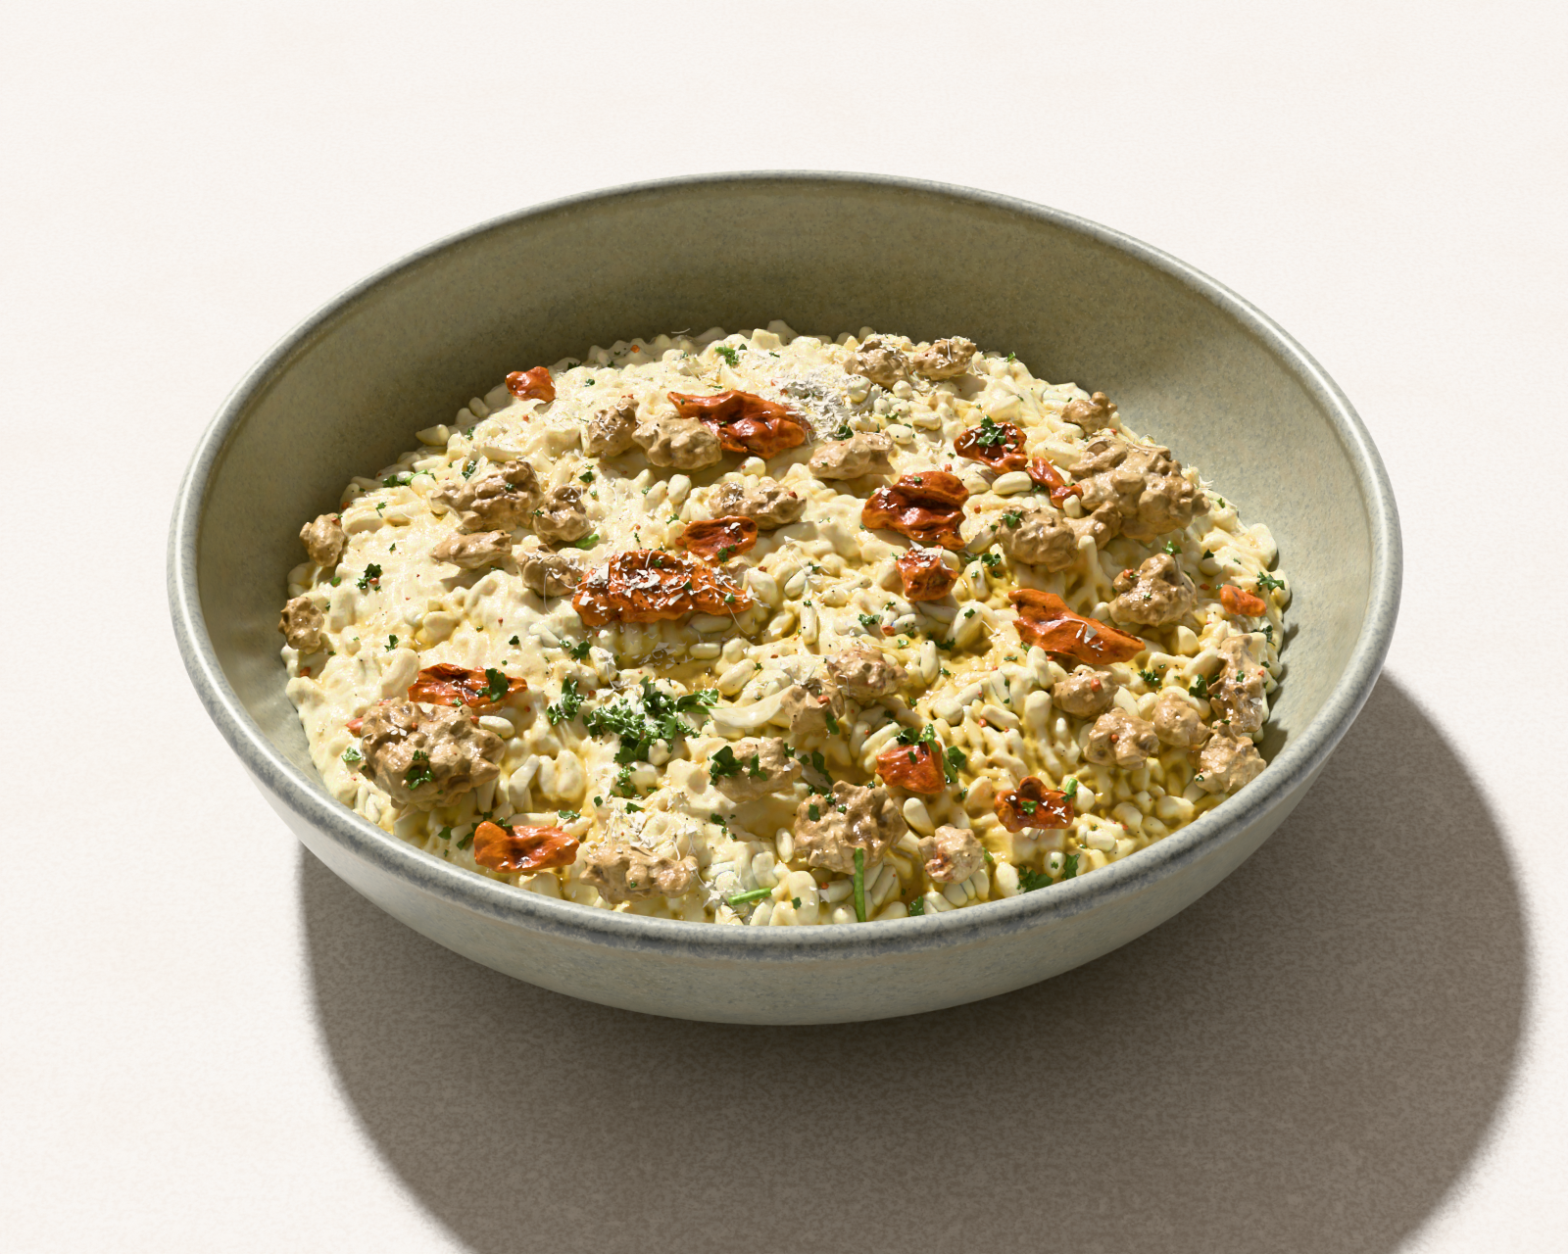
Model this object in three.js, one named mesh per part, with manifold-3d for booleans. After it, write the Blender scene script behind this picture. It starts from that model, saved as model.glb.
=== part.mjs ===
// Sausage risotto in its stoneware pasta bowl.
// Millimetres, +Z up, origin at the middle of the bowl's foot; -Y faces the diner.

import * as THREE from 'three';
import { mergeVertices } from 'three/addons/utils/BufferGeometryUtils.js';
import Module from 'manifold-3d';

const wasm = await Module();
wasm.setup();

// ---------------------------------------------------------------- driving dimensions

const SECTORS = 40; // facets round the bowl and the heap of rice, which share their directions
const GAP = 0.3; // clearance between touching pieces

const BOWL_HEIGHT = 54;
const RIM_RADIUS = 110; // at the widest part of the rolled rim
const ROLL = { halfWidth: 2.8, halfHeight: 3.3, start: -54, step: 36, points: 9 }; // angles in degrees
const OUTER_WALL = { reach: 108, top: 50, depth: 47.5, sideCurve: 4.3, floorCurve: 2.1 };
const INNER_WALL = { reach: 103.5, top: 50, depth: 43.5, sideCurve: 4.3, floorCurve: 1.95 };
const OUTER_WALL_ANGLES = [18, 34, 48, 62, 75]; // degrees from the foot to below the roll
const INNER_WALL_ANGLES = [0, 18, 33, 46, 59, 72]; // degrees from the floor to below the roll
const CONTACT_STEP = 3; // the rice's edge lies between this inner wall angle and the next
const FOOT = { inner: 45, outer: 53, recess: 2.5, chamfer: 1.5 };

const HEAP = {
  reach: 93.5, // radius where the rice meets the wall
  edge: 22.9, // mean height there
  rise: 20.3, // from the edge to the middle of the heap
  dome: 2.2, // exponents of the heap's section: flat on top and steep at its edge
  shoulder: 1.7,
  edgeWave: 0.9, // how far the contact line wanders up and down, seven times round the bowl
  edgeTilt: 1.4, // how much higher it is at the left and right than at the front and back
};
const HEAP_RINGS = [0.985, 0.93, 0.84, 0.72, 0.59, 0.45, 0.3, 0.15];

// Lumps and hollows of the heap: x, y, radius and height of each.
const LUMPS = [
  [-48, -13, 17, 2.6], [-17, 13, 13, 1.6], [2, 70, 15, 1.8], [33, 66, 12, 1.6], [15, 74, 9, -1.6],
  [60, 36, 14, 1.4], [-8, -33, 13, -3.0], [33, -8, 12, 1.6], [22, -36, 14, -1.4], [-38, -53, 11, -3.2],
  [0, -64, 11, -2.2], [70, 0, 10, -2.0], [40, -44, 14, 1.2], [-24, -62, 13, 1.2], [-75, 2, 14, 1.2],
  [-40, 44, 18, 1.0], [-6, -47, 9, 1.0], [57, -60, 11, -1.4], [12, 10, 12, -1.2], [-70, -30, 12, -0.8],
];

// ---------------------------------------------------------------- toppings

// Each crumble of sausage: middle x and y, lift of its middle over the rice, length, width and height,
// turn about Z in degrees, and its extra lobes or fingers as [x, y, z, radius] in parts of its half size.
const SAUSAGES = [
  { x: -55, y: 11, lift: 2.6, size: [21, 14, 11], turn: 14,
    fingers: [[-0.86, 0.1, 0.75, 0.3], [0.74, 0.3, 0.85, 0.38], [-0.2, -0.5, -0.1, 0.5]] },
  { x: -41, y: 4, lift: 1.6, size: [10, 12, 10], turn: 20, fingers: [[0.3, 0.5, 0.7, 0.4]] },
  { x: -57, y: -3, lift: 1.0, size: [15, 8, 7], turn: 12, fingers: [[0.8, 0.1, 0.5, 0.35]] },
  { x: -32, y: 30, lift: 2.0, size: [10, 12, 10], turn: -20, fingers: [] },
  { x: -20, y: 24, lift: 1.2, size: [17, 14, 10], turn: 8, fingers: [[-0.6, 0.1, 0.5, 0.5]] },
  { x: 13, y: 22, lift: 1.6, size: [17, 11, 9], turn: 12, fingers: [[0.7, 0.1, 0.6, 0.42]] },
  { x: 19, y: 55, lift: 1.6, size: [14, 11, 9], turn: 0, fingers: [[-0.4, 0.2, 0.6, 0.45]] },
  { x: 33, y: 60, lift: 1.4, size: [13, 9, 8], turn: 25, fingers: [] },
  { x: -5, y: 5, lift: 1.2, size: [18, 11, 9], turn: -8, fingers: [[0.7, -0.1, 0.4, 0.48]] },
  { x: 67, y: 15, lift: 3.2, size: [27, 21, 15], turn: -28,
    fingers: [[-0.75, -0.35, 0.15, 0.38], [-0.6, 0.35, 0.45, 0.36], [0.65, -0.2, 0.2, 0.55]] },
  { x: 46, y: -2, lift: 2.4, size: [15, 13, 11], turn: -15, fingers: [[-0.5, 0.2, 0.4, 0.5]] },
  { x: 57, y: 3, lift: 1.4, size: [11, 8, 8], turn: 20, fingers: [[0.6, 0.1, 0.6, 0.4]] },
  { x: 60, y: 43, lift: 1.2, size: [11, 8, 7], turn: -10, fingers: [] },
  { x: 67, y: -12, lift: 2.2, size: [18, 13, 10], turn: 30, fingers: [[0.7, 0.4, 0.7, 0.34]] },
  { x: 14, y: -38, lift: 2.2, size: [14, 11, 9], turn: -10, fingers: [[-0.6, 0, 0.5, 0.45]] },
  { x: 5, y: -47, lift: 2.2, size: [11, 10, 9], turn: 25, fingers: [] },
  { x: 51, y: -40, lift: 1.8, size: [12, 10, 9], turn: -20, fingers: [[0.7, 0.2, 0.7, 0.36]] },
  { x: 79, y: -31, lift: 1.2, size: [23, 10, 10], turn: 80, fingers: [[0.75, 0.3, 0.6, 0.38]] },
  { x: 68, y: -42, lift: 1.0, size: [11, 10, 8], turn: -30, fingers: [] },
  { x: 57, y: -50, lift: 1.8, size: [13, 12, 9], turn: 15, fingers: [[-0.8, 0.1, 0.4, 0.34]] },
  { x: 75, y: -48, lift: 2.2, size: [14, 13, 10], turn: 50, fingers: [[0.4, 0.5, 0.6, 0.4]] },
  { x: -60, y: -52, lift: 3.0, size: [26, 20, 14], turn: -22,
    fingers: [[0.45, 0.55, 0.6, 0.34], [0.78, 0.15, 0.2, 0.42], [-0.6, 0.1, 0.4, 0.5]] },
  { x: -88, y: -12, lift: 2.4, size: [8, 10, 9], turn: 8, fingers: [[-0.3, 0.3, 0.6, 0.42]] },
  { x: -87, y: 11, lift: 1.4, size: [8, 13, 8], turn: 6, fingers: [] },
  { x: -5, y: -58, lift: 2.0, size: [16, 11, 9], turn: 22, fingers: [[0.6, 0.4, 0.7, 0.38]] },
  { x: 11, y: -71, lift: 2.4, size: [18, 15, 11], turn: 10,
    fingers: [[0.85, 0.45, 0.95, 0.26], [0.5, 0.2, 0.4, 0.36], [-0.1, 0.6, 0.8, 0.34]] },
  { x: 27, y: -73, lift: 1.6, size: [11, 11, 9], turn: 0, fingers: [] },
  { x: -24, y: -76, lift: 1.8, size: [19, 11, 9], turn: -8, fingers: [[-0.5, 0.1, 0.5, 0.5]] },
  { x: -42, y: -11, lift: 0.8, size: [12, 12, 9], turn: 0, fingers: [] },
];

// Each piece of dried tomato: middle x and y, lift, length, width and thickness, turn about Z and
// lean about its own length and width in degrees, and how far its ends curl up (or down, if negative).
const TOMATOES = [
  { x: -9, y: 31, lift: 2.8, size: [28, 15, 6], turn: -12, lean: [24, 6], curl: -3.2 },
  { x: -12, y: -6, lift: 2.6, size: [14, 10, 4.5], turn: 24, lean: [26, -6], curl: 2.2 },
  { x: -23, y: -18, lift: 2.4, size: [32, 13, 6], turn: -3, lean: [30, 2], curl: -2.6 },
  { x: 24, y: 3, lift: 1.6, size: [20, 16, 6], turn: -12, lean: [28, 4], curl: -3 },
  { x: 40, y: 25, lift: 2.2, size: [15, 12, 5], turn: -18, lean: [22, 6], curl: 2.2 },
  { x: 50, y: 15, lift: 1.8, size: [16, 6, 4.5], turn: -58, lean: [20, 4], curl: -1.6 },
  { x: 25, y: -14, lift: 1.2, size: [16, 11, 7], turn: 76, lean: [6, 22], curl: -2 },
  { x: 50, y: -26, lift: 2.4, size: [25, 11, 5], turn: -20, lean: [26, 6], curl: -2.4 },
  { x: -56, y: -38, lift: 2.0, size: [21, 9, 4.5], turn: -4, lean: [24, 0], curl: 2.6 },
  { x: -43, y: -70, lift: 1.8, size: [18, 9, 5], turn: 2, lean: [26, -6], curl: 2.4 },
  { x: 21, y: -58, lift: 1.2, size: [12, 10, 5], turn: -10, lean: [30, 0], curl: -1.6 },
  { x: 41, y: -63, lift: 1.0, size: [15, 9, 4.5], turn: 24, lean: [20, 8], curl: 2.8 },
  { x: -50, y: 53, lift: 1.4, size: [11, 8, 4.5], turn: 24, lean: [14, 0], curl: -1.2 },
  { x: 84, y: -8, lift: 1.6, size: [9, 9, 4.5], turn: 60, lean: [10, 12], curl: -1.2 },
];

const LARGE_PIECE = 24; // pieces at least this long get the finer mesh

// ---------------------------------------------------------------- materials

const stoneware = new THREE.MeshStandardMaterial({ color: 0x9a9c8a, roughness: 0.45, metalness: 0 });
const creamyRice = new THREE.MeshStandardMaterial({ color: 0xe6d9a0, roughness: 0.35, metalness: 0 });
const cookedSausage = new THREE.MeshStandardMaterial({ color: 0xa9815c, roughness: 0.4, metalness: 0 });
const driedTomato = new THREE.MeshStandardMaterial({ color: 0xb5431c, roughness: 0.3, metalness: 0 });

// ---------------------------------------------------------------- solids

function toSolid(geometry) {
  const bare = geometry.clone();
  bare.deleteAttribute('normal');
  bare.deleteAttribute('uv');
  const merged = mergeVertices(bare, 1e-4);
  const corners = merged.index.array;
  const faces = [];
  for (let i = 0; i < corners.length; i += 3) {
    const [a, b, c] = [corners[i], corners[i + 1], corners[i + 2]];
    if (a !== b && b !== c && c !== a) {
      faces.push(a, b, c);
    }
  }
  return new wasm.Manifold(new wasm.Mesh({
    numProp: 3,
    vertProperties: Float32Array.from(merged.attributes.position.array),
    triVerts: Uint32Array.from(faces),
  }));
}

function toGeometry(solid) {
  const mesh = solid.getMesh();
  const geometry = new THREE.BufferGeometry();
  geometry.setAttribute('position', new THREE.BufferAttribute(mesh.vertProperties, 3));
  geometry.setIndex(new THREE.BufferAttribute(mesh.triVerts, 1));
  geometry.computeVertexNormals();
  return geometry;
}

function moveVertices(geometry, move) {
  const positions = geometry.attributes.position;
  const point = new THREE.Vector3();
  for (let i = 0; i < positions.count; i += 1) {
    point.fromBufferAttribute(positions, i);
    move(point);
    positions.setXYZ(i, point.x, point.y, point.z);
  }
  return geometry;
}

// Revolves a profile of radius and height about Z.
function revolve(profile) {
  return new THREE.LatheGeometry(profile, SECTORS).rotateX(Math.PI / 2);
}

// ---------------------------------------------------------------- bowl

// A point of a wall whose section is a quarter of a superellipse.
function wallPoint(wall, degrees) {
  const angle = THREE.MathUtils.degToRad(degrees);
  const radius = wall.reach * Math.sin(angle) ** (2 / wall.sideCurve);
  const height = wall.top - wall.depth * Math.cos(angle) ** (2 / wall.floorCurve);
  return new THREE.Vector2(radius, height);
}

const innerWall = INNER_WALL_ANGLES.map((degrees) => wallPoint(INNER_WALL, degrees));

// The rolled rim is an oval bead that stands proud of the wall on both sides.
function rollPoint(index) {
  const turn = THREE.MathUtils.degToRad(ROLL.start + ROLL.step * index);
  return new THREE.Vector2(
    RIM_RADIUS - ROLL.halfWidth * (1 - Math.cos(turn)),
    BOWL_HEIGHT - ROLL.halfHeight * (1 - Math.sin(turn)),
  );
}

function bowlProfile() {
  const profile = [
    new THREE.Vector2(0, FOOT.recess),
    new THREE.Vector2(FOOT.inner - FOOT.chamfer, FOOT.recess),
    new THREE.Vector2(FOOT.inner, 0),
    new THREE.Vector2(FOOT.outer - FOOT.chamfer, 0),
    new THREE.Vector2(FOOT.outer, FOOT.chamfer),
  ];
  profile.push(...OUTER_WALL_ANGLES.map((degrees) => wallPoint(OUTER_WALL, degrees)));
  for (let index = 0; index < ROLL.points; index += 1) {
    profile.push(rollPoint(index));
  }
  profile.push(...[...innerWall].reverse());
  return profile;
}

// ---------------------------------------------------------------- heap of rice

function lumpHeight(x, y) {
  let height = 0;
  for (const [lumpX, lumpY, radius, rise] of LUMPS) {
    const distance = Math.hypot(x - lumpX, y - lumpY) / radius;
    height += rise * Math.exp(-1.5 * distance * distance);
  }
  const ripple = Math.sin(x / 4.1 + 1.3 * Math.sin(y / 9)) * Math.cos(y / 3.7 + Math.sin(x / 7));
  return height + 0.5 * ripple;
}

function edgeHeight(angle) {
  return HEAP.edge + HEAP.edgeWave * Math.cos(7 * angle - 1.3) + HEAP.edgeTilt * Math.cos(2 * angle);
}

// Height of the rice over the table at a point, with the lumps fading out towards the edge.
function riceHeight(x, y) {
  const out = Math.min(Math.hypot(x, y) / HEAP.reach, 1);
  const base = edgeHeight(Math.atan2(y, x));
  const top = HEAP.edge + HEAP.rise;
  const smooth = base + (top - base) * (1 - out ** HEAP.dome) ** (1 / HEAP.shoulder);
  return smooth + lumpHeight(x, y) * (1 - out ** 8);
}

// Radius of the bowl's inside at a height between two neighbouring rings of its wall.
function contactRadius(height) {
  const low = innerWall[CONTACT_STEP];
  const high = innerWall[CONTACT_STEP + 1];
  return low.x + ((high.x - low.x) * (height - low.y)) / (high.y - low.y);
}

// The underside keeps the rings and facets of the bowl's inside, so that the gap is even.
function heapSolid() {
  const under = innerWall.slice(0, CONTACT_STEP + 1);
  const profile = under.map((point) => new THREE.Vector2(Math.max(point.x - GAP, 0), point.y + GAP));
  const edge = new THREE.Vector2(HEAP.reach, HEAP.edge);
  profile.push(edge);
  profile.push(...HEAP_RINGS.map((part) => new THREE.Vector2(HEAP.reach * part, HEAP.edge + 1)));
  profile.push(new THREE.Vector2(0, HEAP.edge + HEAP.rise));
  const geometry = moveVertices(revolve(profile), (point) => {
    if (point.z < HEAP.edge - 1e-6) {
      return; // underside
    }
    const angle = Math.atan2(point.y, point.x);
    const rim = edgeHeight(angle);
    const out = Math.hypot(point.x, point.y) / HEAP.reach;
    if (out > 0.999) {
      point.z = rim;
    }
    const reach = contactRadius(rim) - 1.5 * GAP;
    point.x = reach * out * Math.cos(angle);
    point.y = reach * out * Math.sin(angle);
    if (out <= 0.999) {
      point.z = riceHeight((point.x * HEAP.reach) / reach, (point.y * HEAP.reach) / reach);
    }
  });
  return toSolid(geometry);
}

// ---------------------------------------------------------------- sausage and tomato

function pieceBall(size) {
  return new THREE.IcosahedronGeometry(1, size[0] >= LARGE_PIECE ? 2 : 1);
}

// Distance from the middle, along a direction, to the outside of blended round lobes.
function lobeDistance(direction, lobes) {
  const blend = 2.6;
  const step = 0.02;
  let distance = 2;
  for (; distance > step; distance -= step) {
    let field = 0;
    for (const [x, y, z, radius] of lobes) {
      const gap = Math.hypot(direction.x * distance - x, direction.y * distance - y,
        direction.z * distance - z);
      field += Math.exp(-blend * ((gap / radius) ** 2 - 1));
    }
    if (field >= 1) {
      break;
    }
  }
  return distance;
}

function sausageSolid(spec, index, growth) {
  const [length, width, height] = spec.size;
  const lobes = [[0, 0, 0, 0.74]];
  for (let lobe = 0; lobe < 5; lobe += 1) {
    const turn = 1.257 * lobe + 0.9 * index;
    const tilt = 0.6 * Math.sin(2.3 * lobe + 1.7 * index);
    lobes.push([0.5 * Math.cos(turn), 0.5 * Math.sin(turn), 0.45 * tilt, 0.4 + 0.07 * Math.sin(3 * turn)]);
  }
  lobes.push(...spec.fingers);
  const geometry = moveVertices(pieceBall(spec.size), (point) => {
    point.setLength(lobeDistance(point.normalize(), lobes));
  });
  geometry.computeBoundingBox();
  const reach = geometry.boundingBox.getSize(new THREE.Vector3());
  geometry.center();
  geometry.scale(length / reach.x, width / reach.y, height / reach.z);
  moveVertices(geometry, (point) => {
    point.setLength(point.length() + growth);
  });
  geometry.rotateZ(THREE.MathUtils.degToRad(spec.turn));
  return placeOnRice(geometry, spec);
}

// A flat pillow with a wrinkled face, its ends curled, leaning on the rice.
function tomatoSolid(spec, index, growth) {
  const [length, width, thickness] = spec.size;
  const geometry = moveVertices(pieceBall(spec.size), (point) => {
    point.normalize();
    const outline = 1 + 0.13 * Math.sin(3 * Math.atan2(point.y, point.x) + index);
    point.x *= (length / 2) * outline + growth;
    point.y *= (width / 2) * outline + growth;
    const along = point.x / (length / 2);
    const across = point.y / (width / 2);
    const wrinkle = 0.12 * thickness * Math.sin(4.2 * along + 1.7 * index) * Math.cos(2.6 * across);
    point.z = point.z * (thickness / 2 + 1.4 * growth) + wrinkle;
    point.z += spec.curl * (along * along - 0.3) + 0.35 * spec.curl * across * across;
  });
  geometry.rotateX(THREE.MathUtils.degToRad(spec.lean[0]));
  geometry.rotateY(THREE.MathUtils.degToRad(spec.lean[1]));
  geometry.rotateZ(THREE.MathUtils.degToRad(spec.turn));
  return placeOnRice(geometry, spec);
}

function placeOnRice(geometry, spec) {
  geometry.translate(spec.x, spec.y, riceHeight(spec.x, spec.y) + spec.lift);
  return toSolid(geometry);
}

// ---------------------------------------------------------------- assembly

const group = new THREE.Group();

function addMesh(name, geometry, material) {
  const mesh = new THREE.Mesh(geometry, material);
  mesh.name = name;
  group.add(mesh);
}

// Later toppings give way to the ones laid before them, and the rice gives way to them all.
const laid = [];

function layPieces(kind, specs, makeSolid, material) {
  specs.forEach((spec, index) => {
    let solid = makeSolid(spec, index, 0);
    for (const earlier of laid) {
      solid = solid.subtract(earlier);
    }
    laid.push(makeSolid(spec, index, 1.2 * GAP));
    addMesh(`${kind}_${String(index + 1).padStart(2, '0')}`, toGeometry(solid), material);
  });
}

addMesh('bowl', revolve(bowlProfile()), stoneware);
layPieces('tomato', TOMATOES, tomatoSolid, driedTomato);
layPieces('sausage', SAUSAGES, sausageSolid, cookedSausage);

let rice = heapSolid();
for (const piece of laid) {
  rice = rice.subtract(piece);
}
addMesh('risotto', toGeometry(rice), creamyRice);

export default group;
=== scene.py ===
"""Sausage risotto in its stoneware bowl: the looks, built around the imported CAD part.

Food shapes are worked out in millimetres and turned into metres when a mesh is made.
"""
import math
import bmesh
import bpy
import numpy as np
from mathutils import Matrix, Vector
from mathutils.bvhtree import BVHTree
from mathutils.kdtree import KDTree


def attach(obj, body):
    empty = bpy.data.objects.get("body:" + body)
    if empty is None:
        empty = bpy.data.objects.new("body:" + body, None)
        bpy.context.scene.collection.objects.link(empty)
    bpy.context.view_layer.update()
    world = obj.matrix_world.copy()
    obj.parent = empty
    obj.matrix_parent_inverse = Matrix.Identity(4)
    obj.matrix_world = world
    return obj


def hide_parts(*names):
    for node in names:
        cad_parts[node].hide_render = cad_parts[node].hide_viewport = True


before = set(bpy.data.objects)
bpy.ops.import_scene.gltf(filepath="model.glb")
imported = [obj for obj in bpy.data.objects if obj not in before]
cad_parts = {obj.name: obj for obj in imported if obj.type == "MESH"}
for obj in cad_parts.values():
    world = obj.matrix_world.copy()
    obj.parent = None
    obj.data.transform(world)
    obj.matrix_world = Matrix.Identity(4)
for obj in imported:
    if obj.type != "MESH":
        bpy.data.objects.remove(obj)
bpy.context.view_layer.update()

MM = 0.001
FULL_TURN = 2 * math.pi
DOWN = Vector((0, 0, -1))
SEED = 41

# The camera, in metres and degrees
CAMERA_TARGET = (-0.00022, -0.03869, 0.054)
CAMERA_AWAY = 0.4286
CAMERA_DOWN = 41.397
CAMERA_ROLL = -0.326
CAMERA_LENS = 58.5

# The sun, the side of the room that is brightest, and the floor's half width in mm
SUN_FROM = (-0.32, 0.63, 0.71)
ROOM_FROM = (-0.45, 0.60, 0.66)
FLOOR_HALF_WIDTH = 30000.0

# The bowl's driving dimensions, the same as in the CAD source
BOWL_HEIGHT = 54.0
RIM_RADIUS = 110.0
ROLL_HALF_WIDTH = 2.8
ROLL_HALF_HEIGHT = 3.3
OUTER_WALL = {"reach": 108.0, "top": 50.0, "depth": 47.5, "side": 4.3, "floor": 2.1}
INNER_WALL = {"reach": 103.5, "top": 50.0, "depth": 43.5, "side": 4.3, "floor": 1.95}
FOOT = {"inner": 45.0, "outer": 53.0, "recess": 2.5, "chamfer": 1.5}

# How finely the bowl is divided: around it, and along each stretch of its section
BOWL_SECTORS = 168
OUTER_POINTS = 44
ROLL_POINTS = 38
INNER_POINTS = 52

# Height maps are squares round the bowl's axis, coarse or fine, and food lies within a circle
MAP_HALF = 105.0
COARSE = 1.0
FINE = 0.5
FOOD_RADIUS = 97.0
MISSED = -1000.0

# Rice grains: how many are dropped within which radius, and their sizes in mm
GRAIN_TRIES = 2250
DROP_RADIUS = 92.5
GRAIN_LENGTH = 8.0
LENGTH_RANGE = (7.3, 9.7)
GRAIN_WIDTH = 3.75
WIDTH_RANGE = (3.0, 4.5)
BROKEN_SHARE = 0.14
BROKEN_RANGE = (4.9, 6.9)
LOOSE_HEIGHT = 0.3

# How they settle: steps, how near two must be to touch, and how far they fall in an early and a late step
SETTLE_STEPS = 80
TOUCH_REACH = 11.5
EARLY_FALL = 0.30
LATE_FALL = 0.14

# The sauce: how far its core lies under the heap and goes into the wall, and how far down its hollows go
# before the rice in them is painted in full shade
SAUCE_DROP = 3.1
PAST_WALL = 0.7
HOLLOW_DEPTH = 4.5
CORE_ROWS = 300
CORE_TRIANGLES = 186000

# How finely skins are drawn round overlapping bodies, in mm
RICE_VOXEL = 0.46
SAUSAGE_VOXEL = 0.42
TOMATO_VOXEL = 0.40

# The mesh area in mm2 for each lump of a crumble
LUMP_AREA = 15

# How many small things lie loose all over, how many flakes lie together and how many of them have a thread
LOOSE_LEAVES = 210
LOOSE_SHREDS = 70
LOOSE_SPECKS = 420
LOOSE_CRUMBS = 95
FLAKES_TOGETHER = 4
THREAD_SHARE = 0.28


# ---------------------------------------------------------------- small tools

def lattice(cells, seed):
    """A fixed random number from 0 to 1 for each row of three whole numbers."""
    h = np.uint32((seed * 3266489917) & 0xFFFFFFFF)
    for column, factor in zip(cells.T, (374761393, 668265263, 2246822519)):
        h = h + column.astype(np.uint32) * np.uint32(factor)
    h = (h ^ (h >> np.uint32(13))) * np.uint32(1274126177)
    h = h ^ (h >> np.uint32(16))
    return (h & np.uint32(0xFFFFFF)).astype(float) / 0xFFFFFF


def smooth_noise(points, size, seed):
    """Soft noise from -1 to 1 with features about size mm across."""
    q = np.asarray(points, float) / size + 1000.0
    cell = np.floor(q).astype(np.int64)
    f = q - cell
    f = f * f * (3 - 2 * f)
    total = np.zeros(len(q))
    for corner in np.ndindex(2, 2, 2):
        share = np.abs(1 - np.array(corner) - f)
        total += share[:, 0] * share[:, 1] * share[:, 2] * lattice(cell + corner, seed)
    return total * 2 - 1


def cell_noise(points, size, seed):
    """Distance to the nearest of many scattered points, in cell sizes: rounded, with creases between."""
    q = np.asarray(points, float) / size + 1000.0
    cell = np.floor(q).astype(np.int64) - 1
    best = np.full(len(q), 9.0)
    for corner in np.ndindex(3, 3, 3):
        near = cell + corner
        spot = near + np.stack([lattice(near, seed + k) for k in range(3)], -1)
        best = np.minimum(best, ((q - spot) ** 2).sum(1))
    return np.sqrt(best)


def unit(v):
    return v / np.maximum(np.linalg.norm(v, axis=-1, keepdims=True), 1e-9)


def even_turns(count):
    return np.linspace(0, FULL_TURN, count, endpoint=False)


def mesh_object(name, points, faces, material, smooth=True, **values):
    """A mesh object from points in mm; values are per-point numbers that its material reads."""
    faces = np.asarray(faces, np.int32)
    mesh = bpy.data.meshes.new(name)
    mesh.vertices.add(len(points))
    mesh.vertices.foreach_set("co", (np.asarray(points, float) * MM).astype(np.float32).ravel())
    mesh.loops.add(faces.size)
    mesh.loops.foreach_set("vertex_index", faces.ravel())
    mesh.polygons.add(len(faces))
    mesh.polygons.foreach_set("loop_start", np.arange(0, faces.size, faces.shape[1], dtype=np.int32))
    mesh.polygons.foreach_set("use_smooth", np.full(len(faces), smooth))
    for key, value in values.items():
        mesh.attributes.new(key, "FLOAT", "POINT")
        mesh.attributes[key].data.foreach_set("value", np.asarray(value, np.float32))
    mesh.update(calc_edges=True)
    mesh.validate()
    if material:
        mesh.materials.append(material)
    made = bpy.data.objects.new(name, mesh)
    bpy.context.scene.collection.objects.link(made)
    return made


def finish_piece(made, replaced=None):
    """Hides the solid that a piece stands for, if any, and has the piece rest with the body."""
    if replaced:
        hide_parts(replaced)
    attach(made, "root")


def mesh_arrays(obj, value=None):
    """Points in mm and triangles of an object's final mesh, and one of its per-point values if asked."""
    final = obj.evaluated_get(bpy.context.evaluated_depsgraph_get())
    mesh = final.to_mesh()
    points = np.zeros(len(mesh.vertices) * 3)
    mesh.vertices.foreach_get("co", points)
    mesh.calc_loop_triangles()
    triangles = np.zeros(len(mesh.loop_triangles) * 3, np.int32)
    mesh.loop_triangles.foreach_get("vertices", triangles)
    arrays = [points.reshape(-1, 3) / MM, triangles.reshape(-1, 3)]
    if value:
        values = np.zeros(len(mesh.vertices), np.float32)
        mesh.attributes[value].data.foreach_get("value", values)
        arrays.append(values)
    final.to_mesh_clear()
    return arrays


def welded(points, faces):
    """The same surface with points that lie together made one."""
    _, first, same = np.unique(np.round(points, 4), axis=0, return_index=True, return_inverse=True)
    return points[first], same.reshape(-1)[faces]


def joined(parts):
    """Several (points, triangles) as one, with a value for each point too where the parts have values."""
    starts = np.cumsum([0] + [len(part[0]) for part in parts])
    points = np.concatenate([part[0] for part in parts])
    faces = np.concatenate([part[1] + start for part, start in zip(parts, starts)])
    if len(parts[0]) == 2:
        return points, faces
    return points, faces, np.concatenate([np.broadcast_to(part[2], (len(part[0]),)) for part in parts])


def tree_of(points, faces):
    return BVHTree.FromPolygons(points.tolist(), faces.tolist())


def fan(middle, ring, flip=False):
    """Triangles from one point to each side of a ring of points."""
    after = np.roll(ring, -1)
    return np.stack([np.full(len(ring), middle), *((after, ring) if flip else (ring, after))], -1)


def band(low, high):
    """Triangles between two rings that have as many points."""
    after_low, after_high = np.roll(low, -1), np.roll(high, -1)
    return np.concatenate([np.stack([low, high, after_high], -1), np.stack([low, after_high, after_low], -1)])


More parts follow.
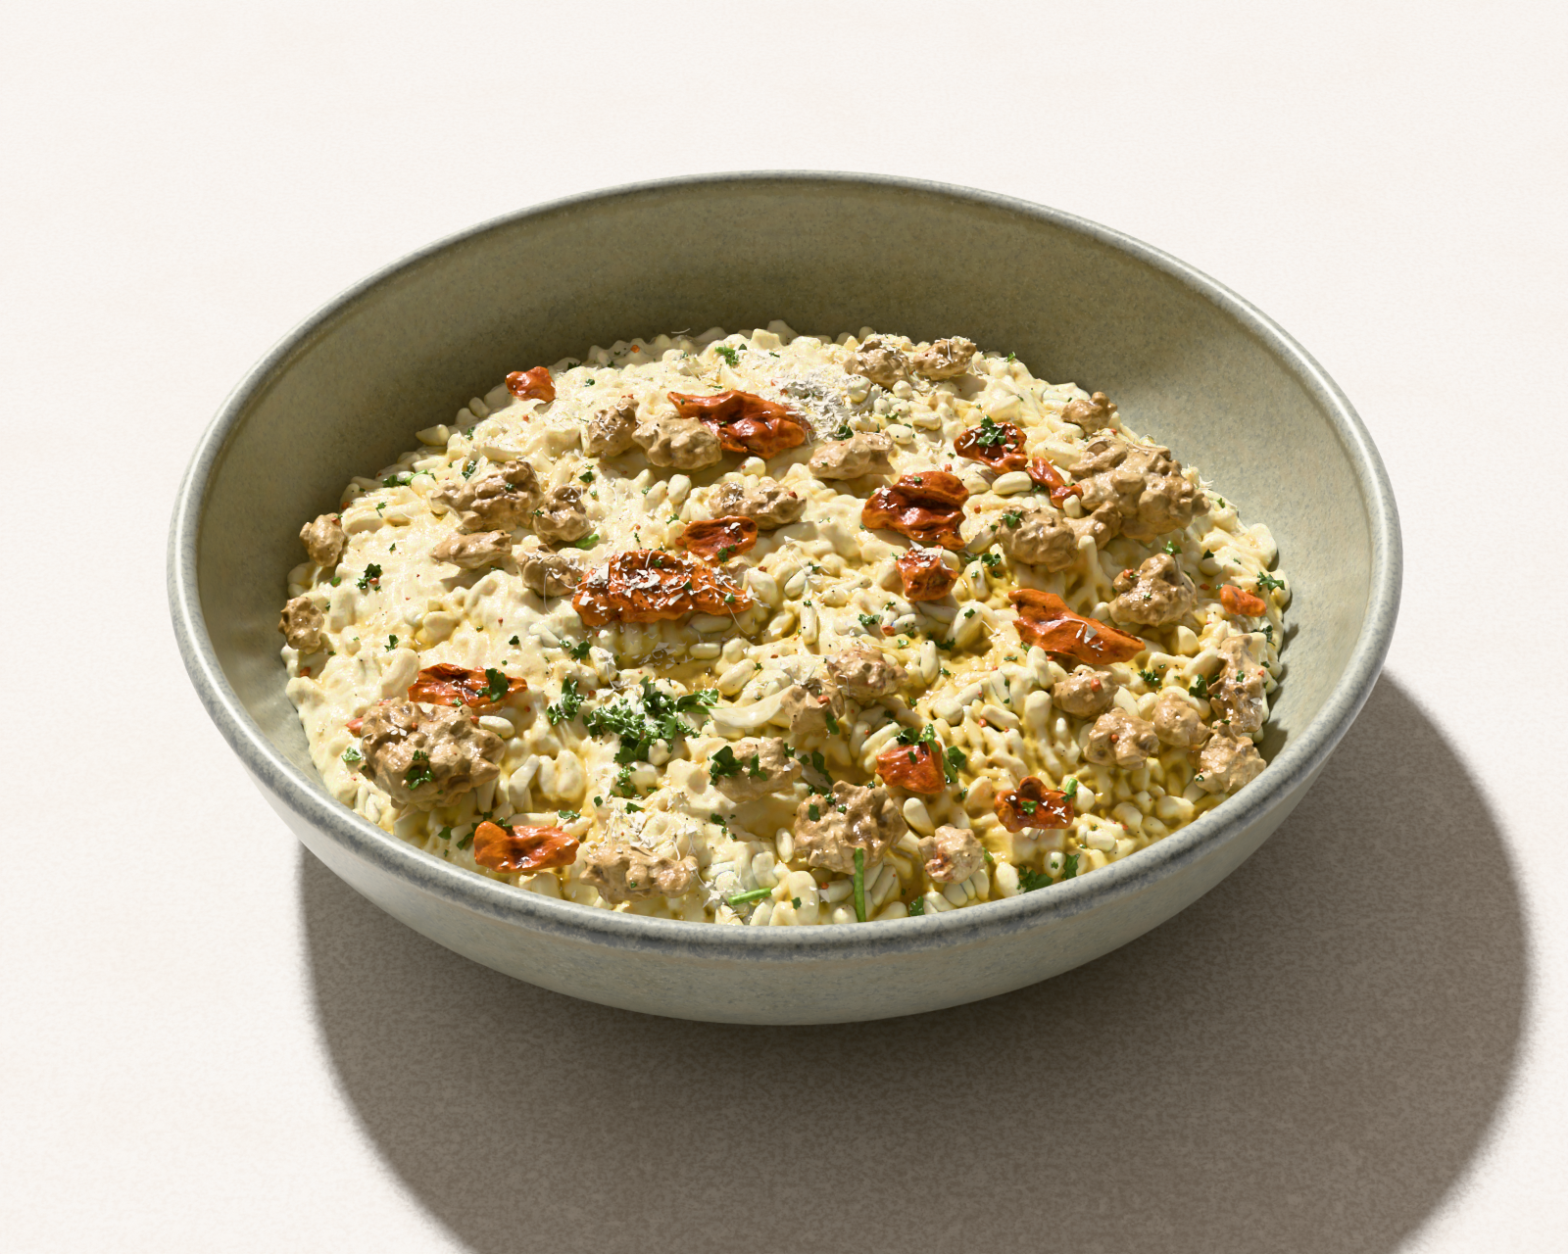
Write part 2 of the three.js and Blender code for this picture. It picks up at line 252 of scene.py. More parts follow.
def grid_faces(rows, columns, wrap=False):
    """Triangles of a sheet of rows by columns points; wrap joins the last column to the first."""
    r = np.arange(rows - 1)[:, None]
    c = np.arange(columns if wrap else columns - 1)[None, :]
    n = (c + 1) % columns
    a, b = r * columns + c, r * columns + n
    d, e = (r + 1) * columns + c, (r + 1) * columns + n
    return np.concatenate([np.stack([a, b, e], -1).reshape(-1, 3), np.stack([a, e, d], -1).reshape(-1, 3)])


class Field:
    """Heights in mm over the square round the bowl's axis."""

    def __init__(self, values):
        self.values = values
        self.step = 2 * MAP_HALF / (len(values) - 1)

    def at(self, x, y):
        n = len(self.values)
        gx = np.clip((np.asarray(x) + MAP_HALF) / self.step, 0, n - 1.001)
        gy = np.clip((np.asarray(y) + MAP_HALF) / self.step, 0, n - 1.001)
        i, j = np.floor(gx).astype(int), np.floor(gy).astype(int)
        u, v = gx - i, gy - j
        h = self.values
        low = h[j, i] * (1 - u) + h[j, i + 1] * u
        high = h[j + 1, i] * (1 - u) + h[j + 1, i + 1] * u
        return low * (1 - v) + high * v

    def under(self, points):
        return self.at(points[..., 0], points[..., 1])


def map_grid(step):
    """The places along one side of a height map, and the x and the y of each of its points."""
    line = np.arange(-MAP_HALF, MAP_HALF + step / 2, step)
    return line, *np.meshgrid(line, line)


def blurred(values, times):
    for _ in range(times):
        p = np.pad(values, 1, mode="edge")
        values = (p[1:-1, 1:-1] * 4 + p[:-2, 1:-1] + p[2:, 1:-1] + p[1:-1, :-2] + p[1:-1, 2:]) / 8
    return values


# ---------------------------------------------------------------- materials

class Nodes:
    """A node tree built line by line."""

    def __init__(self, tree):
        self.tree = tree

    def add(self, kind, **settings):
        made = self.tree.nodes.new(kind)
        for key, value in settings.items():
            setattr(made, key, value)
        return made

    def put(self, socket, value):
        if isinstance(value, bpy.types.NodeSocket):
            self.tree.links.new(value, socket)
        elif isinstance(value, tuple) and len(value) == 3 and socket.type == "RGBA":
            socket.default_value = (*value, 1)
        else:
            socket.default_value = value

    def made(self, kind, output, inputs, **settings):
        """One output of a new node, with its inputs filled."""
        node = self.add(kind, **settings)
        for key, value in inputs.items():
            self.put(node.inputs[key], value)
        return node.outputs[output]

    def step(self, value, low, high, end=1.0, start=0.0, kind="SMOOTHSTEP"):
        """start to end as value goes from low to high."""
        inputs = {"Value": value, "From Min": low, "From Max": high, "To Min": start, "To Max": end}
        return self.made("ShaderNodeMapRange", "Result", inputs, interpolation_type=kind)

    def math(self, operation, a, b):
        return self.made("ShaderNodeMath", 0, {0: a, 1: b}, operation=operation)

    def times(self, a, b):
        return self.math("MULTIPLY", a, b)

    def mix(self, share, a, b, blend="MIX"):
        return self.made("ShaderNodeMix", 2, {0: share, 6: a, 7: b}, data_type="RGBA", blend_type=blend)


class Shader(Nodes):
    """A material: its colour starts with two shades and takes one layer after the other."""

    def __init__(self, name):
        self.material = bpy.data.materials.new(name)
        self.material.use_nodes = True
        super().__init__(self.material.node_tree)
        self.tree.nodes.clear()
        self.surface = self.add("ShaderNodeBsdfPrincipled")
        out = self.add("ShaderNodeOutputMaterial")
        self.tree.links.new(self.surface.outputs[0], out.inputs["Surface"])
        self.place = self.add("ShaderNodeTexCoord").outputs["Object"]

    def shades(self, share, first, second):
        self.colour = self.mix(share, first, second)

    def layer(self, share, colour):
        self.colour = self.mix(share, self.colour, colour)

    def set(self, **inputs):
        for key, value in inputs.items():
            self.put(self.surface.inputs[key.replace("_", " ")], value)

    def scatter(self, weight, radius, scale_mm):
        """How light spreads under the surface."""
        self.set(Subsurface_Weight=weight, Subsurface_Radius=radius, Subsurface_Scale=scale_mm * MM)

    def coat(self, weight, roughness, **inputs):
        self.set(Coat_Weight=weight, Coat_Roughness=roughness, **inputs)

    def finish(self, **inputs):
        self.set(Base_Color=self.colour, **inputs)
        return self.material

    def noise(self, size_mm, detail=3.0, roughness=0.55, distortion=0.0, offset=0.0, stretch=(1, 1, 1)):
        inputs = {"Vector": self.place, "Location": (offset, offset * 0.7, -offset), "Scale": stretch}
        place = self.made("ShaderNodeMapping", 0, inputs)
        inputs = {"Vector": place, "Scale": 1 / (size_mm * MM), "Detail": detail}
        inputs |= {"Roughness": roughness, "Distortion": distortion}
        return self.made("ShaderNodeTexNoise", "Fac", inputs)

    def cells(self, size_mm, offset):
        inputs = {"Vector": self.place, "Location": (offset, -offset, offset * 0.3)}
        place = self.made("ShaderNodeMapping", 0, inputs)
        return self.made("ShaderNodeTexVoronoi", "Distance", {"Vector": place, "Scale": 1 / (size_mm * MM)})

    def value(self, name):
        return self.add("ShaderNodeAttribute", attribute_name=name).outputs["Fac"]

    def bump(self, height, strength, distance_mm):
        inputs = {"Height": height, "Strength": strength, "Distance": distance_mm * MM}
        return self.made("ShaderNodeBump", 0, inputs)


def make_glaze():
    """Satin grey-green stoneware glaze with blue-grey and tan speckle, breaks in colour along the rim, and
    painted shade inside the rim's roll.
    """
    s = Shader("stoneware_glaze")
    mottle = s.noise(1.9, 5, 0.7, 0.2, 0.2)
    fine = s.noise(0.9, 4, 0.7, 0.0, 0.5)
    dust = s.noise(0.7, 3, 0.7, 0.0, 0.9)
    streak = s.noise(8, 5, 0.7, 0.4, 3.3, (1, 1, 2.2))
    s.shades(s.step(s.noise(30, 3, 0.55), 0.3, 0.7), (0.29, 0.297, 0.225), (0.335, 0.343, 0.28))
    s.layer(s.step(mottle, 0.45, 0.65, 0.35), (0.42, 0.42, 0.34))
    s.layer(s.step(mottle, 0.50, 0.34, 0.45), (0.23, 0.22, 0.13))
    s.layer(s.step(fine, 0.52, 0.64, 0.6), (0.15, 0.185, 0.195))
    s.layer(s.step(dust, 0.56, 0.68, 0.55), (0.52, 0.50, 0.41))
    s.layer(s.step(streak, 0.50, 0.66, 0.45), (0.37, 0.32, 0.23))
    s.layer(s.step(streak, 0.48, 0.34, 0.4), (0.22, 0.25, 0.255))
    # bands along the rim: around is the distance in mm along the profile from the rim's top
    ragged = s.math("ADD", s.value("around"), s.step(s.noise(5, 5, 0.8, 0.4, 1.3), 0.25, 0.75, 0.8, -0.8))
    ragged = s.math("ADD", ragged, s.step(dust, 0.3, 0.7, 0.5, -0.5))
    blot = s.step(s.noise(4.5, 5, 0.8, 0.5, 2.1), 0.40, 0.58)
    crown = s.times(s.step(ragged, -3.4, -2.4), s.step(ragged, 3.0, 2.0))
    s.layer(s.times(crown, 0.8), (0.33, 0.345, 0.31))
    s.layer(s.times(crown, s.step(fine, 0.48, 0.60, 0.65)), (0.17, 0.195, 0.205))
    blue = s.times(s.step(ragged, 1.8, 2.9), s.step(ragged, 5.0, 3.9))
    s.layer(s.times(blue, s.step(blot, 0, 1, 0.9, 0.35)), (0.105, 0.125, 0.135))
    tan = s.times(s.step(ragged, 5.0, 6.0), s.step(ragged, 8.6, 7.2))
    s.layer(s.times(tan, s.step(blot, 0, 1, 0.25, 0.65)), (0.33, 0.27, 0.17))
    # painted shade: a dark line round the inside of the rim's roll
    inner_shade_line = s.times(s.step(ragged, -3.4, -4.2), s.step(ragged, -6.8, -5.4))
    s.layer(s.times(inner_shade_line, 0.6), (0.16, 0.145, 0.095))
    s.coat(0.25, 0.16, Specular_IOR_Level=0.5)
    pitted = s.math("ADD", mottle, s.times(fine, 0.7))
    return s.finish(Roughness=s.step(mottle, 0.3, 0.7, 0.42, 0.30), Normal=s.bump(pitted, 0.25, 0.25))


def make_clay():
    """The unglazed foot."""
    s = Shader("bare_clay")
    grain = s.noise(0.6, 4, 0.6)
    s.shades(s.step(grain, 0.35, 0.65), (0.40, 0.31, 0.21), (0.52, 0.42, 0.30))
    return s.finish(Roughness=0.85, Normal=s.bump(grain, 0.4, 0.2))


def make_rice(name, clearness):
    """Cooked grain and its cream: ivory to honey, clear, wet. tint differs between grains; a value that is 0
    on the tops and 1 in creases and hollows gives the cream its honey tone there and paints shade, golden to
    dark brown; clearness is how far light spreads in it, in mm."""
    s = Shader(name)
    deep = s.value("deep")
    cloud = s.noise(3.0, 3, 0.6, 0.3)
    s.shades(s.value("tint"), (0.83, 0.77, 0.51), (0.89, 0.87, 0.70))
    # partly the cream's honey tone, partly painted shade, growing from the tops down into the creases
    s.layer(s.step(deep, 0.0, 0.35), (0.86, 0.74, 0.37))
    s.layer(s.step(cloud, 0.48, 0.72, 0.5), (0.86, 0.83, 0.60))
    s.layer(s.step(s.noise(12, 3, 0.5, 0.0, 0.6), 0.56, 0.74, 0.35), (0.80, 0.63, 0.20))
    # painted shade: golden, then dark brown, deep in the creases and hollows and under the grains
    s.layer(s.step(deep, 0.30, 0.65, 0.9), (0.77, 0.56, 0.09))
    s.layer(s.step(deep, 0.60, 1.0, 0.92), (0.38, 0.22, 0.009))
    s.scatter(1.0, (1.0, 0.72, 0.26), clearness)
    wet = s.noise(1.5, 2, 0.5, 0.0, 0.9)
    s.coat(1.0, 0.165, Coat_IOR=1.6, Coat_Normal=s.bump(wet, 0.9, 0.7))
    skin = s.math("ADD", s.noise(0.8, 3, 0.6, 0.0, 0.3), s.times(cloud, 1.6))
    return s.finish(Roughness=s.step(cloud, 0.3, 0.7, 0.46, 0.30), IOR=1.38, Normal=s.bump(skin, 0.5, 0.25))


def make_sausage(crust):
    """Crumbled cooked sausage: golden brown meat with painted shade in its creases and painted light on its
    ridges, wet and partly veiled in cream. crust adds browning."""
    s = Shader("cooked_sausage_crusted" if crust else "cooked_sausage")
    high = s.value("high")
    tone = s.noise(1.1, 4, 0.6, 0.3, 0.7)
    s.shades(s.step(s.noise(4.2, 4, 0.6, 0.4), 0.36, 0.64), (0.32, 0.17, 0.038), (0.51, 0.305, 0.088))
    s.layer(s.step(tone, 0.52, 0.68, 0.5), (0.62, 0.42, 0.17))
    s.layer(s.step(s.noise(6.5, 3, 0.6, 0.3, 4.1), 0.54, 0.68, 0.55), (0.50, 0.27, 0.105))
    # painted shade in the creases and painted light on the ridges, by the relief value high
    s.layer(s.step(high, 0.52, 0.20, 0.92), (0.14, 0.062, 0.010))
    s.layer(s.step(high, 0.62, 0.95, 0.35), (0.66, 0.46, 0.21))
    if crust:
        burnt = s.step(s.noise(3.4, 4, 0.6, 0.5, 1.7), 0.50, 0.60)
        s.layer(burnt, (0.40, 0.11, 0.014))
        s.layer(s.times(burnt, s.step(tone, 0.5, 0.6)), (0.10, 0.03, 0.01))
    s.layer(s.times(s.step(s.cells(2.3, 0.4), 0.14, 0.08), 0.85), (0.04, 0.035, 0.015))
    veil = s.times(s.value("cream"), s.step(s.noise(2.6, 3, 0.6, 0.4, 2.4), 0.30, 0.56))
    s.layer(s.times(veil, 0.75), (0.80, 0.65, 0.34))
    s.scatter(0.3, (1.0, 0.5, 0.22), 1.2)
    s.coat(1.0, 0.14, Coat_IOR=1.65, Coat_Normal=s.bump(s.noise(1.5, 2, 0.5, 0.2, 1.4), 1.0, 0.8))
    skin = s.math("ADD", tone, s.noise(0.6, 3, 0.6, 0.2, 2.0))
    return s.finish(Roughness=s.step(tone, 0.3, 0.7, 0.48, 0.28), Normal=s.bump(skin, 0.6, 0.3))


def make_tomato():
    """Dried tomato, soaked: dark red to orange, oily, clear where it is thin, with painted shade in its
    creases and painted light on its ridges. thin is 1 at the edges, fresh is 1 for an orange piece and 0 for
    a dark one."""
    s = Shader("dried_tomato")
    high = s.value("high")
    fresh = s.value("fresh")
    patch = s.step(s.noise(6, 3, 0.6, 0.5), 0.36, 0.62)
    vein = s.noise(1.6, 4, 0.6, 0.6, 0.6)
    dark = s.mix(patch, (0.16, 0.015, 0.002), (0.33, 0.042, 0.004))
    orange = s.mix(patch, (0.35, 0.052, 0.004), (0.58, 0.145, 0.010))
    s.shades(fresh, dark, orange)
    # painted light on the ridges and painted shade in the creases, by the relief value high
    s.layer(s.step(high, 0.60, 0.95, 0.5), (0.66, 0.20, 0.015))
    s.layer(s.step(high, 0.48, 0.15, 0.95), (0.055, 0.006, 0.001))
    s.layer(s.times(s.value("thin"), s.step(vein, 0.42, 0.66, 0.8)), (0.70, 0.25, 0.010))
    s.layer(s.times(fresh, s.step(s.noise(5.0, 3, 0.6, 0.5, 3.3), 0.54, 0.66, 0.6)), (0.72, 0.29, 0.07))
    s.scatter(0.35, (1.0, 0.22, 0.06), 1.6)
    wet = s.noise(1.2, 2, 0.5, 0.8, 1.4, (0.5, 1, 1))
    s.coat(0.9, 0.14, Coat_IOR=1.5, Specular_IOR_Level=0.12, Coat_Normal=s.bump(wet, 0.8, 0.5))
    skin = s.math("ADD", vein, s.noise(0.6, 3, 0.6, 0.2, 1.1))
    return s.finish(Roughness=s.step(vein, 0.3, 0.7, 0.40, 0.22), Normal=s.bump(skin, 0.6, 0.3))


def make_parsley():
    """Chopped leaf: dark green, with painted light brightening it towards the edges, veined and wet. tint is
    1 at its brightest.
    """
    s = Shader("chopped_parsley")
    vein = s.noise(0.9, 3, 0.6, 0.3)
    # tint: a random tone for each leaf, with painted light added towards each leaf's edge
    s.shades(s.value("tint"), (0.018, 0.055, 0.004), (0.12, 0.21, 0.012))
    s.layer(s.step(vein, 0.50, 0.68, 0.5), (0.10, 0.18, 0.02))
    s.coat(0.6, 0.16)
    return s.finish(Roughness=0.40, Normal=s.bump(vein, 0.7, 0.25))


def make_cheese():
    """Finely grated hard cheese, off-white and soft in the light."""
    s = Shader("grated_cheese")
    cloud = s.noise(1.2, 3, 0.6)
    s.shades(s.step(cloud, 0.35, 0.65), (0.96, 0.94, 0.87), (0.98, 0.975, 0.95))
    s.coat(0.2, 0.3)
    return s.finish(Roughness=0.45, Normal=s.bump(cloud, 0.5, 0.15))


def make_crumb(name, dark, light):
    """Small matt crumbs of one colour."""
    s = Shader(name)
    cloud = s.noise(0.8, 3, 0.6)
    s.shades(s.step(cloud, 0.35, 0.65), dark, light)
    s.coat(0.4, 0.2)
    return s.finish(Roughness=0.45, Normal=s.bump(cloud, 0.5, 0.2))


def make_onion():
    """Soft cooked onion, nearly clear."""
    s = Shader("soft_onion")
    lines = s.noise(0.9, 3, 0.5, 0.2, 0.0, (0.25, 1, 1))
    s.shades(s.step(lines, 0.4, 0.6), (0.80, 0.72, 0.45), (0.90, 0.86, 0.68))
    s.scatter(0.5, (1.0, 0.8, 0.5), 3.0)
    s.coat(0.8, 0.08)
    return s.finish(Roughness=0.22, Transmission_Weight=0.35, IOR=1.36, Normal=s.bump(lines, 0.4, 0.2))


# ---------------------------------------------------------------- camera, light, floor

def make_camera():
    """Looks down at the bowl from the front, hardly rolled."""
    data = bpy.data.cameras.new("camera")
    data.sensor_width = 36.0
    data.lens = CAMERA_LENS
    data.clip_start = 0.01
    down, roll = math.radians(CAMERA_DOWN), math.radians(CAMERA_ROLL)
    back = Vector((0, -math.cos(down), math.sin(down)))
    side = Vector((1, 0, 0))
    right = math.cos(roll) * side + math.sin(roll) * back.cross(side)
    turn = Matrix((right, back.cross(right), back)).transposed()
    cam = bpy.data.objects.new("camera", data)
    bpy.context.scene.collection.objects.link(cam)
    cam.matrix_world = Matrix.Translation(Vector(CAMERA_TARGET) + back * CAMERA_AWAY) @ turn.to_4x4()
    bpy.context.scene.camera = cam


def make_light():
    """A low hard sun from the back left, a dim warm room that is brightest on that side, and a pale haze low
    round the horizon."""
    key = bpy.data.lights.new("key", "SUN")
    key.angle = math.radians(4.6)
    key.energy = 6.7
    key.color = (1.0, 0.985, 0.96)
    lamp = bpy.data.objects.new("key", key)
    lamp.location = Vector(SUN_FROM).normalized()
    lamp.rotation_mode = "QUATERNION"
    lamp.rotation_quaternion = lamp.location.to_track_quat("Z", "Y")
    bpy.context.scene.collection.objects.link(lamp)
    world = bpy.data.worlds.new("studio")
    world.use_nodes = True
    w = Nodes(world.node_tree)
    way = w.add("ShaderNodeTexCoord").outputs["Generated"]
    brightest = Vector(ROOM_FROM).normalized()
    facing = w.made("ShaderNodeVectorMath", "Value", {0: way, 1: brightest}, operation="DOT_PRODUCT")
    level = w.step(facing, -0.2, 1.0, 0.66, 0.015, "LINEAR")
    room = w.mix(1.0, (1.0, 0.83, 0.67), level, "MULTIPLY")
    haze = w.step(w.made("ShaderNodeSeparateXYZ", "Z", {0: way}), 0.17, 0.0)
    w.put(w.tree.nodes["Background"].inputs[0], w.mix(haze, room, (1.1, 1.08, 1.05)))
    bpy.context.scene.world = world
    bpy.context.scene.view_settings.view_transform = "Khronos PBR Neutral"


def make_floor():
    """A pale plaster table top with faint clouds and fine grain, its far edge out of sight."""
    s = Shader("pale_floor")
    fine = s.noise(1.1, 4, 0.75)
    grain = s.noise(2.6, 5, 0.8, 0.4, 0.8)
    s.shades(s.step(s.noise(130, 4, 0.55), 0.35, 0.65), (0.82, 0.83, 0.85), (0.87, 0.88, 0.90))
    s.layer(s.step(s.noise(38, 5, 0.65, 0.6, 0.4), 0.44, 0.66, 0.7), (0.78, 0.765, 0.76))
    s.layer(s.step(fine, 0.42, 0.60, 0.65), (0.58, 0.55, 0.54))
    s.layer(s.step(grain, 0.53, 0.62, 0.8), (0.92, 0.92, 0.93))
    s.finish(Roughness=0.75, Normal=s.bump(s.math("ADD", fine, grain), 0.35, 0.25))
    corners = np.array([[-1, -1, 0], [1, -1, 0], [1, 1, 0], [-1, 1, 0]]) * FLOOR_HALF_WIDTH
    mesh_object("floor", corners, np.array([[0, 1, 2, 3]]), s.material, False)


# ---------------------------------------------------------------- bowl

def wall_point(wall, angle):
    """A point of the wall's section, angle from straight down: (radius, height)."""
    r = wall["reach"] * math.sin(angle) ** (2 / wall["side"])
    z = wall["top"] - wall["depth"] * math.cos(angle) ** (2 / wall["floor"])
    return r, z


def inner_radius(z):
    """The inner wall's radius at height z."""
    c = np.clip((INNER_WALL["top"] - np.asarray(z, float)) / INNER_WALL["depth"], 0, 1)
    angle = np.arccos(c ** (INNER_WALL["floor"] / 2))
    return INNER_WALL["reach"] * np.sin(angle) ** (2 / INNER_WALL["side"])


def under_height(r):
    """A little over the bowl's inner floor at radius r."""
    t = np.arcsin(np.clip(r / INNER_WALL["reach"], 0, 0.9999) ** (INNER_WALL["side"] / 2))
    return INNER_WALL["top"] - INNER_WALL["depth"] * np.cos(t) ** (2 / INNER_WALL["floor"]) + 0.3


def bowl_profile():
    """The section from the axis underneath, out round the foot and wall, over the rim, and back inside."""
    inner, outer, recess, chamfer = FOOT["inner"], FOOT["outer"], FOOT["recess"], FOOT["chamfer"]
    section = [(r, recess) for r in (0.0, 15.0, 30.0, 40.0)]
    section += [(inner - 1.2, recess - 0.2), (inner - 0.3, recess - 0.8), (inner, 0.8), (inner + 0.8, 0.0)]
    section += [(outer - chamfer, 0.0), (outer - 0.5, 0.5), (outer, chamfer)]
    start = next(a for a in np.linspace(0.02, 1.2, 600) if wall_point(OUTER_WALL, a)[0] > outer + 0.4)
    section += [wall_point(OUTER_WALL, a) for a in np.linspace(start, math.radians(79), OUTER_POINTS)]
    r, z = RIM_RADIUS - ROLL_HALF_WIDTH, BOWL_HEIGHT - ROLL_HALF_HEIGHT
    section += [(r + ROLL_HALF_WIDTH * math.cos(a), z + ROLL_HALF_HEIGHT * math.sin(a))
                for a in np.radians(np.linspace(-38, 208, ROLL_POINTS))]
    section += [wall_point(INNER_WALL, a) for a in np.linspace(math.radians(76), 0.0, INNER_POINTS)]
    return np.array(section)


def make_bowl():
    """Thrown by hand, so its rim is not quite round; the joins of its section are softened."""
    section = bowl_profile()
    inner_join = len(section) - INNER_POINTS
    outer_join = inner_join - ROLL_POINTS
    for a, b in ((inner_join - 4, inner_join + 5), (outer_join - 4, outer_join + 4)):
        for _ in range(6):
            section[a:b] = section[a - 1:b - 1] / 4 + section[a:b] / 2 + section[a + 1:b + 1] / 4
    length = np.concatenate([[0], np.cumsum(np.linalg.norm(np.diff(section, axis=0), axis=1))])
    around = length[np.argmax(section[:, 1])] - length
    turns = even_turns(BOWL_SECTORS)
    r, z = section[1:-1, 0], section[1:-1, 1]
    wobble = 1 + 0.0011 * np.sin(2 * turns + 0.6) + 0.0006 * np.sin(5 * turns)
    wobble = wobble / wobble.max()
    share = np.clip((r - 60) / 50, 0, 1)[:, None]
    radius = r[:, None] * (1 + share * (wobble[None, :] - 1))
    heights = np.repeat(z[:, None], BOWL_SECTORS, 1)
    points = np.stack([radius * np.cos(turns), radius * np.sin(turns), heights], -1).reshape(-1, 3)
    low, ring = len(points), np.arange(BOWL_SECTORS)
    last = ring + low - BOWL_SECTORS
    points = np.concatenate([points, [[0, 0, section[0, 1]], [0, 0, section[-1, 1]]]])
    faces = grid_faces(len(r), BOWL_SECTORS, wrap=True)
    faces = np.concatenate([faces, fan(low, ring, True), fan(low + 1, last)])
    values = np.concatenate([np.repeat(around[1:-1], BOWL_SECTORS), [around[0], around[-1]]])
    bowl = mesh_object("stoneware_bowl", points, faces, make_glaze(), around=values)
    bowl.data.materials.append(make_clay())
    bare = points[faces].mean(1)[:, 2] < 0.7
    bowl.data.polygons.foreach_set("material_index", bare.astype(np.int32))
    finish_piece(bowl, "bowl")


# ---------------------------------------------------------------- the heap's height

def topping_names():
    return sorted(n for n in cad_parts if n.startswith(("sausage_", "tomato_")))


def cad_arrays(names):
    return joined([welded(*mesh_arrays(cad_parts[name])) for name in names])


def top_heights(tree, step):
    """A height map of a mesh's top, MISSED where a ray from above misses it."""
    line = map_grid(step)[0]
    heights = np.full((len(line), len(line)), MISSED)
    for j, y in enumerate(line):
        for i, x in enumerate(line):
            if x * x + y * y <= FOOD_RADIUS ** 2:
                hit = tree.ray_cast(Vector((x, y, 60)), DOWN)[0]
                if hit is not None:
                    heights[j, i] = hit.z
    return heights


def heap_height(rice_tops, topping_tops):
    """The heap's top without its pockets: what toppings cover is filled in smoothly."""
    known = (rice_tops > MISSED) & (topping_tops == MISSED)
    heights = np.where(known, rice_tops, np.nan)
    kept = known.copy()
    for axis in (0, 1):
        for way in (-1, 1):
            kept &= np.roll(known, way, axis)
    kept |= known & (np.hypot(*map_grid(COARSE)[1:]) > 90)
    filled = np.where(kept, heights, np.nanmean(heights))
    for _ in range(500):
        p = np.pad(filled, 1, mode="edge")
        mean = (p[:-2, 1:-1] + p[2:, 1:-1] + p[1:-1, :-2] + p[1:-1, 2:]) / 4
        filled = np.where(kept, heights, mean)
    return Field(blurred(filled, 3))


def rolled(values, step, ball):
    """The surface that a ball rolled over a height map leaves: creases narrower than the ball are bridged."""
    reach = int(ball / step)
    cap = []
    for i, j in np.ndindex(2 * reach + 1, 2 * reach + 1):
        rest = ball ** 2 - ((i - reach) ** 2 + (j - reach) ** 2) * step ** 2
        if rest >= 0:
            cap.append((i - reach, j - reach, math.sqrt(rest)))
    raised = np.full_like(values, -1e9)
    for i, j, rise in cap:
        raised = np.maximum(raised, np.roll(values, (i, j), (0, 1)) + rise)
    closed = np.full_like(values, 1e9)
    for i, j, rise in cap:
        closed = np.minimum(closed, np.roll(raised, (i, j), (0, 1)) - rise)
    return closed


# Hollows and mounds in the rice: x, y, radius and how deep, less than 0 for a mound
DIPS = [
    (-14, -32, 8, 8.5), (-26, -30, 6, 6.5), (-40, -55, 8, 8.0), (0, -64, 7, 7.5), (20, -74, 6, 5.5),
    (70, 0, 7, 7.0), (34, -44, 7, 6.0), (-4, 18, 6, 4.5), (26, 10, 6, 4.5), (46, 36, 6, 4.0),
    (62, -22, 6, 5.0), (-34, -64, 5, 4.0), (10, -58, 5, 4.0), (-48, -13, 8, -2.5), (-17, 13, 7, -2.0),
    (10, -22, 8, -2.0), (35, -30, 7, -1.5),
]


def creaminess(x, y):
    """How far the sauce rises round the grains: most at the back left, least at the front right."""
    p = np.stack([x, y, 0 * x], -1).reshape(-1, 3)
    patch = (smooth_noise(p, 15.0, 5) + smooth_noise(p, 7.5, 6) / 2) / 1.6
    return np.clip(0.49 - 0.0042 * (x - y) + 0.75 * patch.reshape(np.shape(x)), 0, 1)


def unevenness(topping_tops):
    """Mounds and hollows of a few grains, none at the edge and no mounds under the toppings."""
    _, gx, gy = map_grid(COARSE)
    p = np.stack([gx, gy, 0 * gx], -1).reshape(-1, 3)
    lumps = 2.2 * smooth_noise(p, 19.0, 20) + 4.0 * smooth_noise(p, 11.0, 21) + 1.9 * smooth_noise(p, 6.0, 22)
    lumps = lumps.reshape(gx.shape) - 0.6
    for x, y, radius, depth in DIPS:
        lumps -= depth * np.exp(-((gx - x) ** 2 + (gy - y) ** 2) / radius ** 2)
    covered = (topping_tops > 0).astype(float)
    beside = np.roll(covered, (-3, 3), (0, 1)) * (1 - covered)
    lumps -= 3.2 * blurred(beside, 6)
    under = blurred(covered, 8)
    mounds = lumps * (1 - np.clip(under * 1.6, 0, 1))
    lumps = np.where(lumps > 0, mounds, lumps * (1 - 0.5 * np.clip(under, 0, 1)))
    fade = np.clip((91 - np.hypot(gx, gy)) / 10, 0, 1)
    return lumps * fade * (1 - 0.4 * creaminess(gx, gy))


# ---------------------------------------------------------------- grains
# A set of grains is [centre, axis, length, width, broken], one row or number for each grain

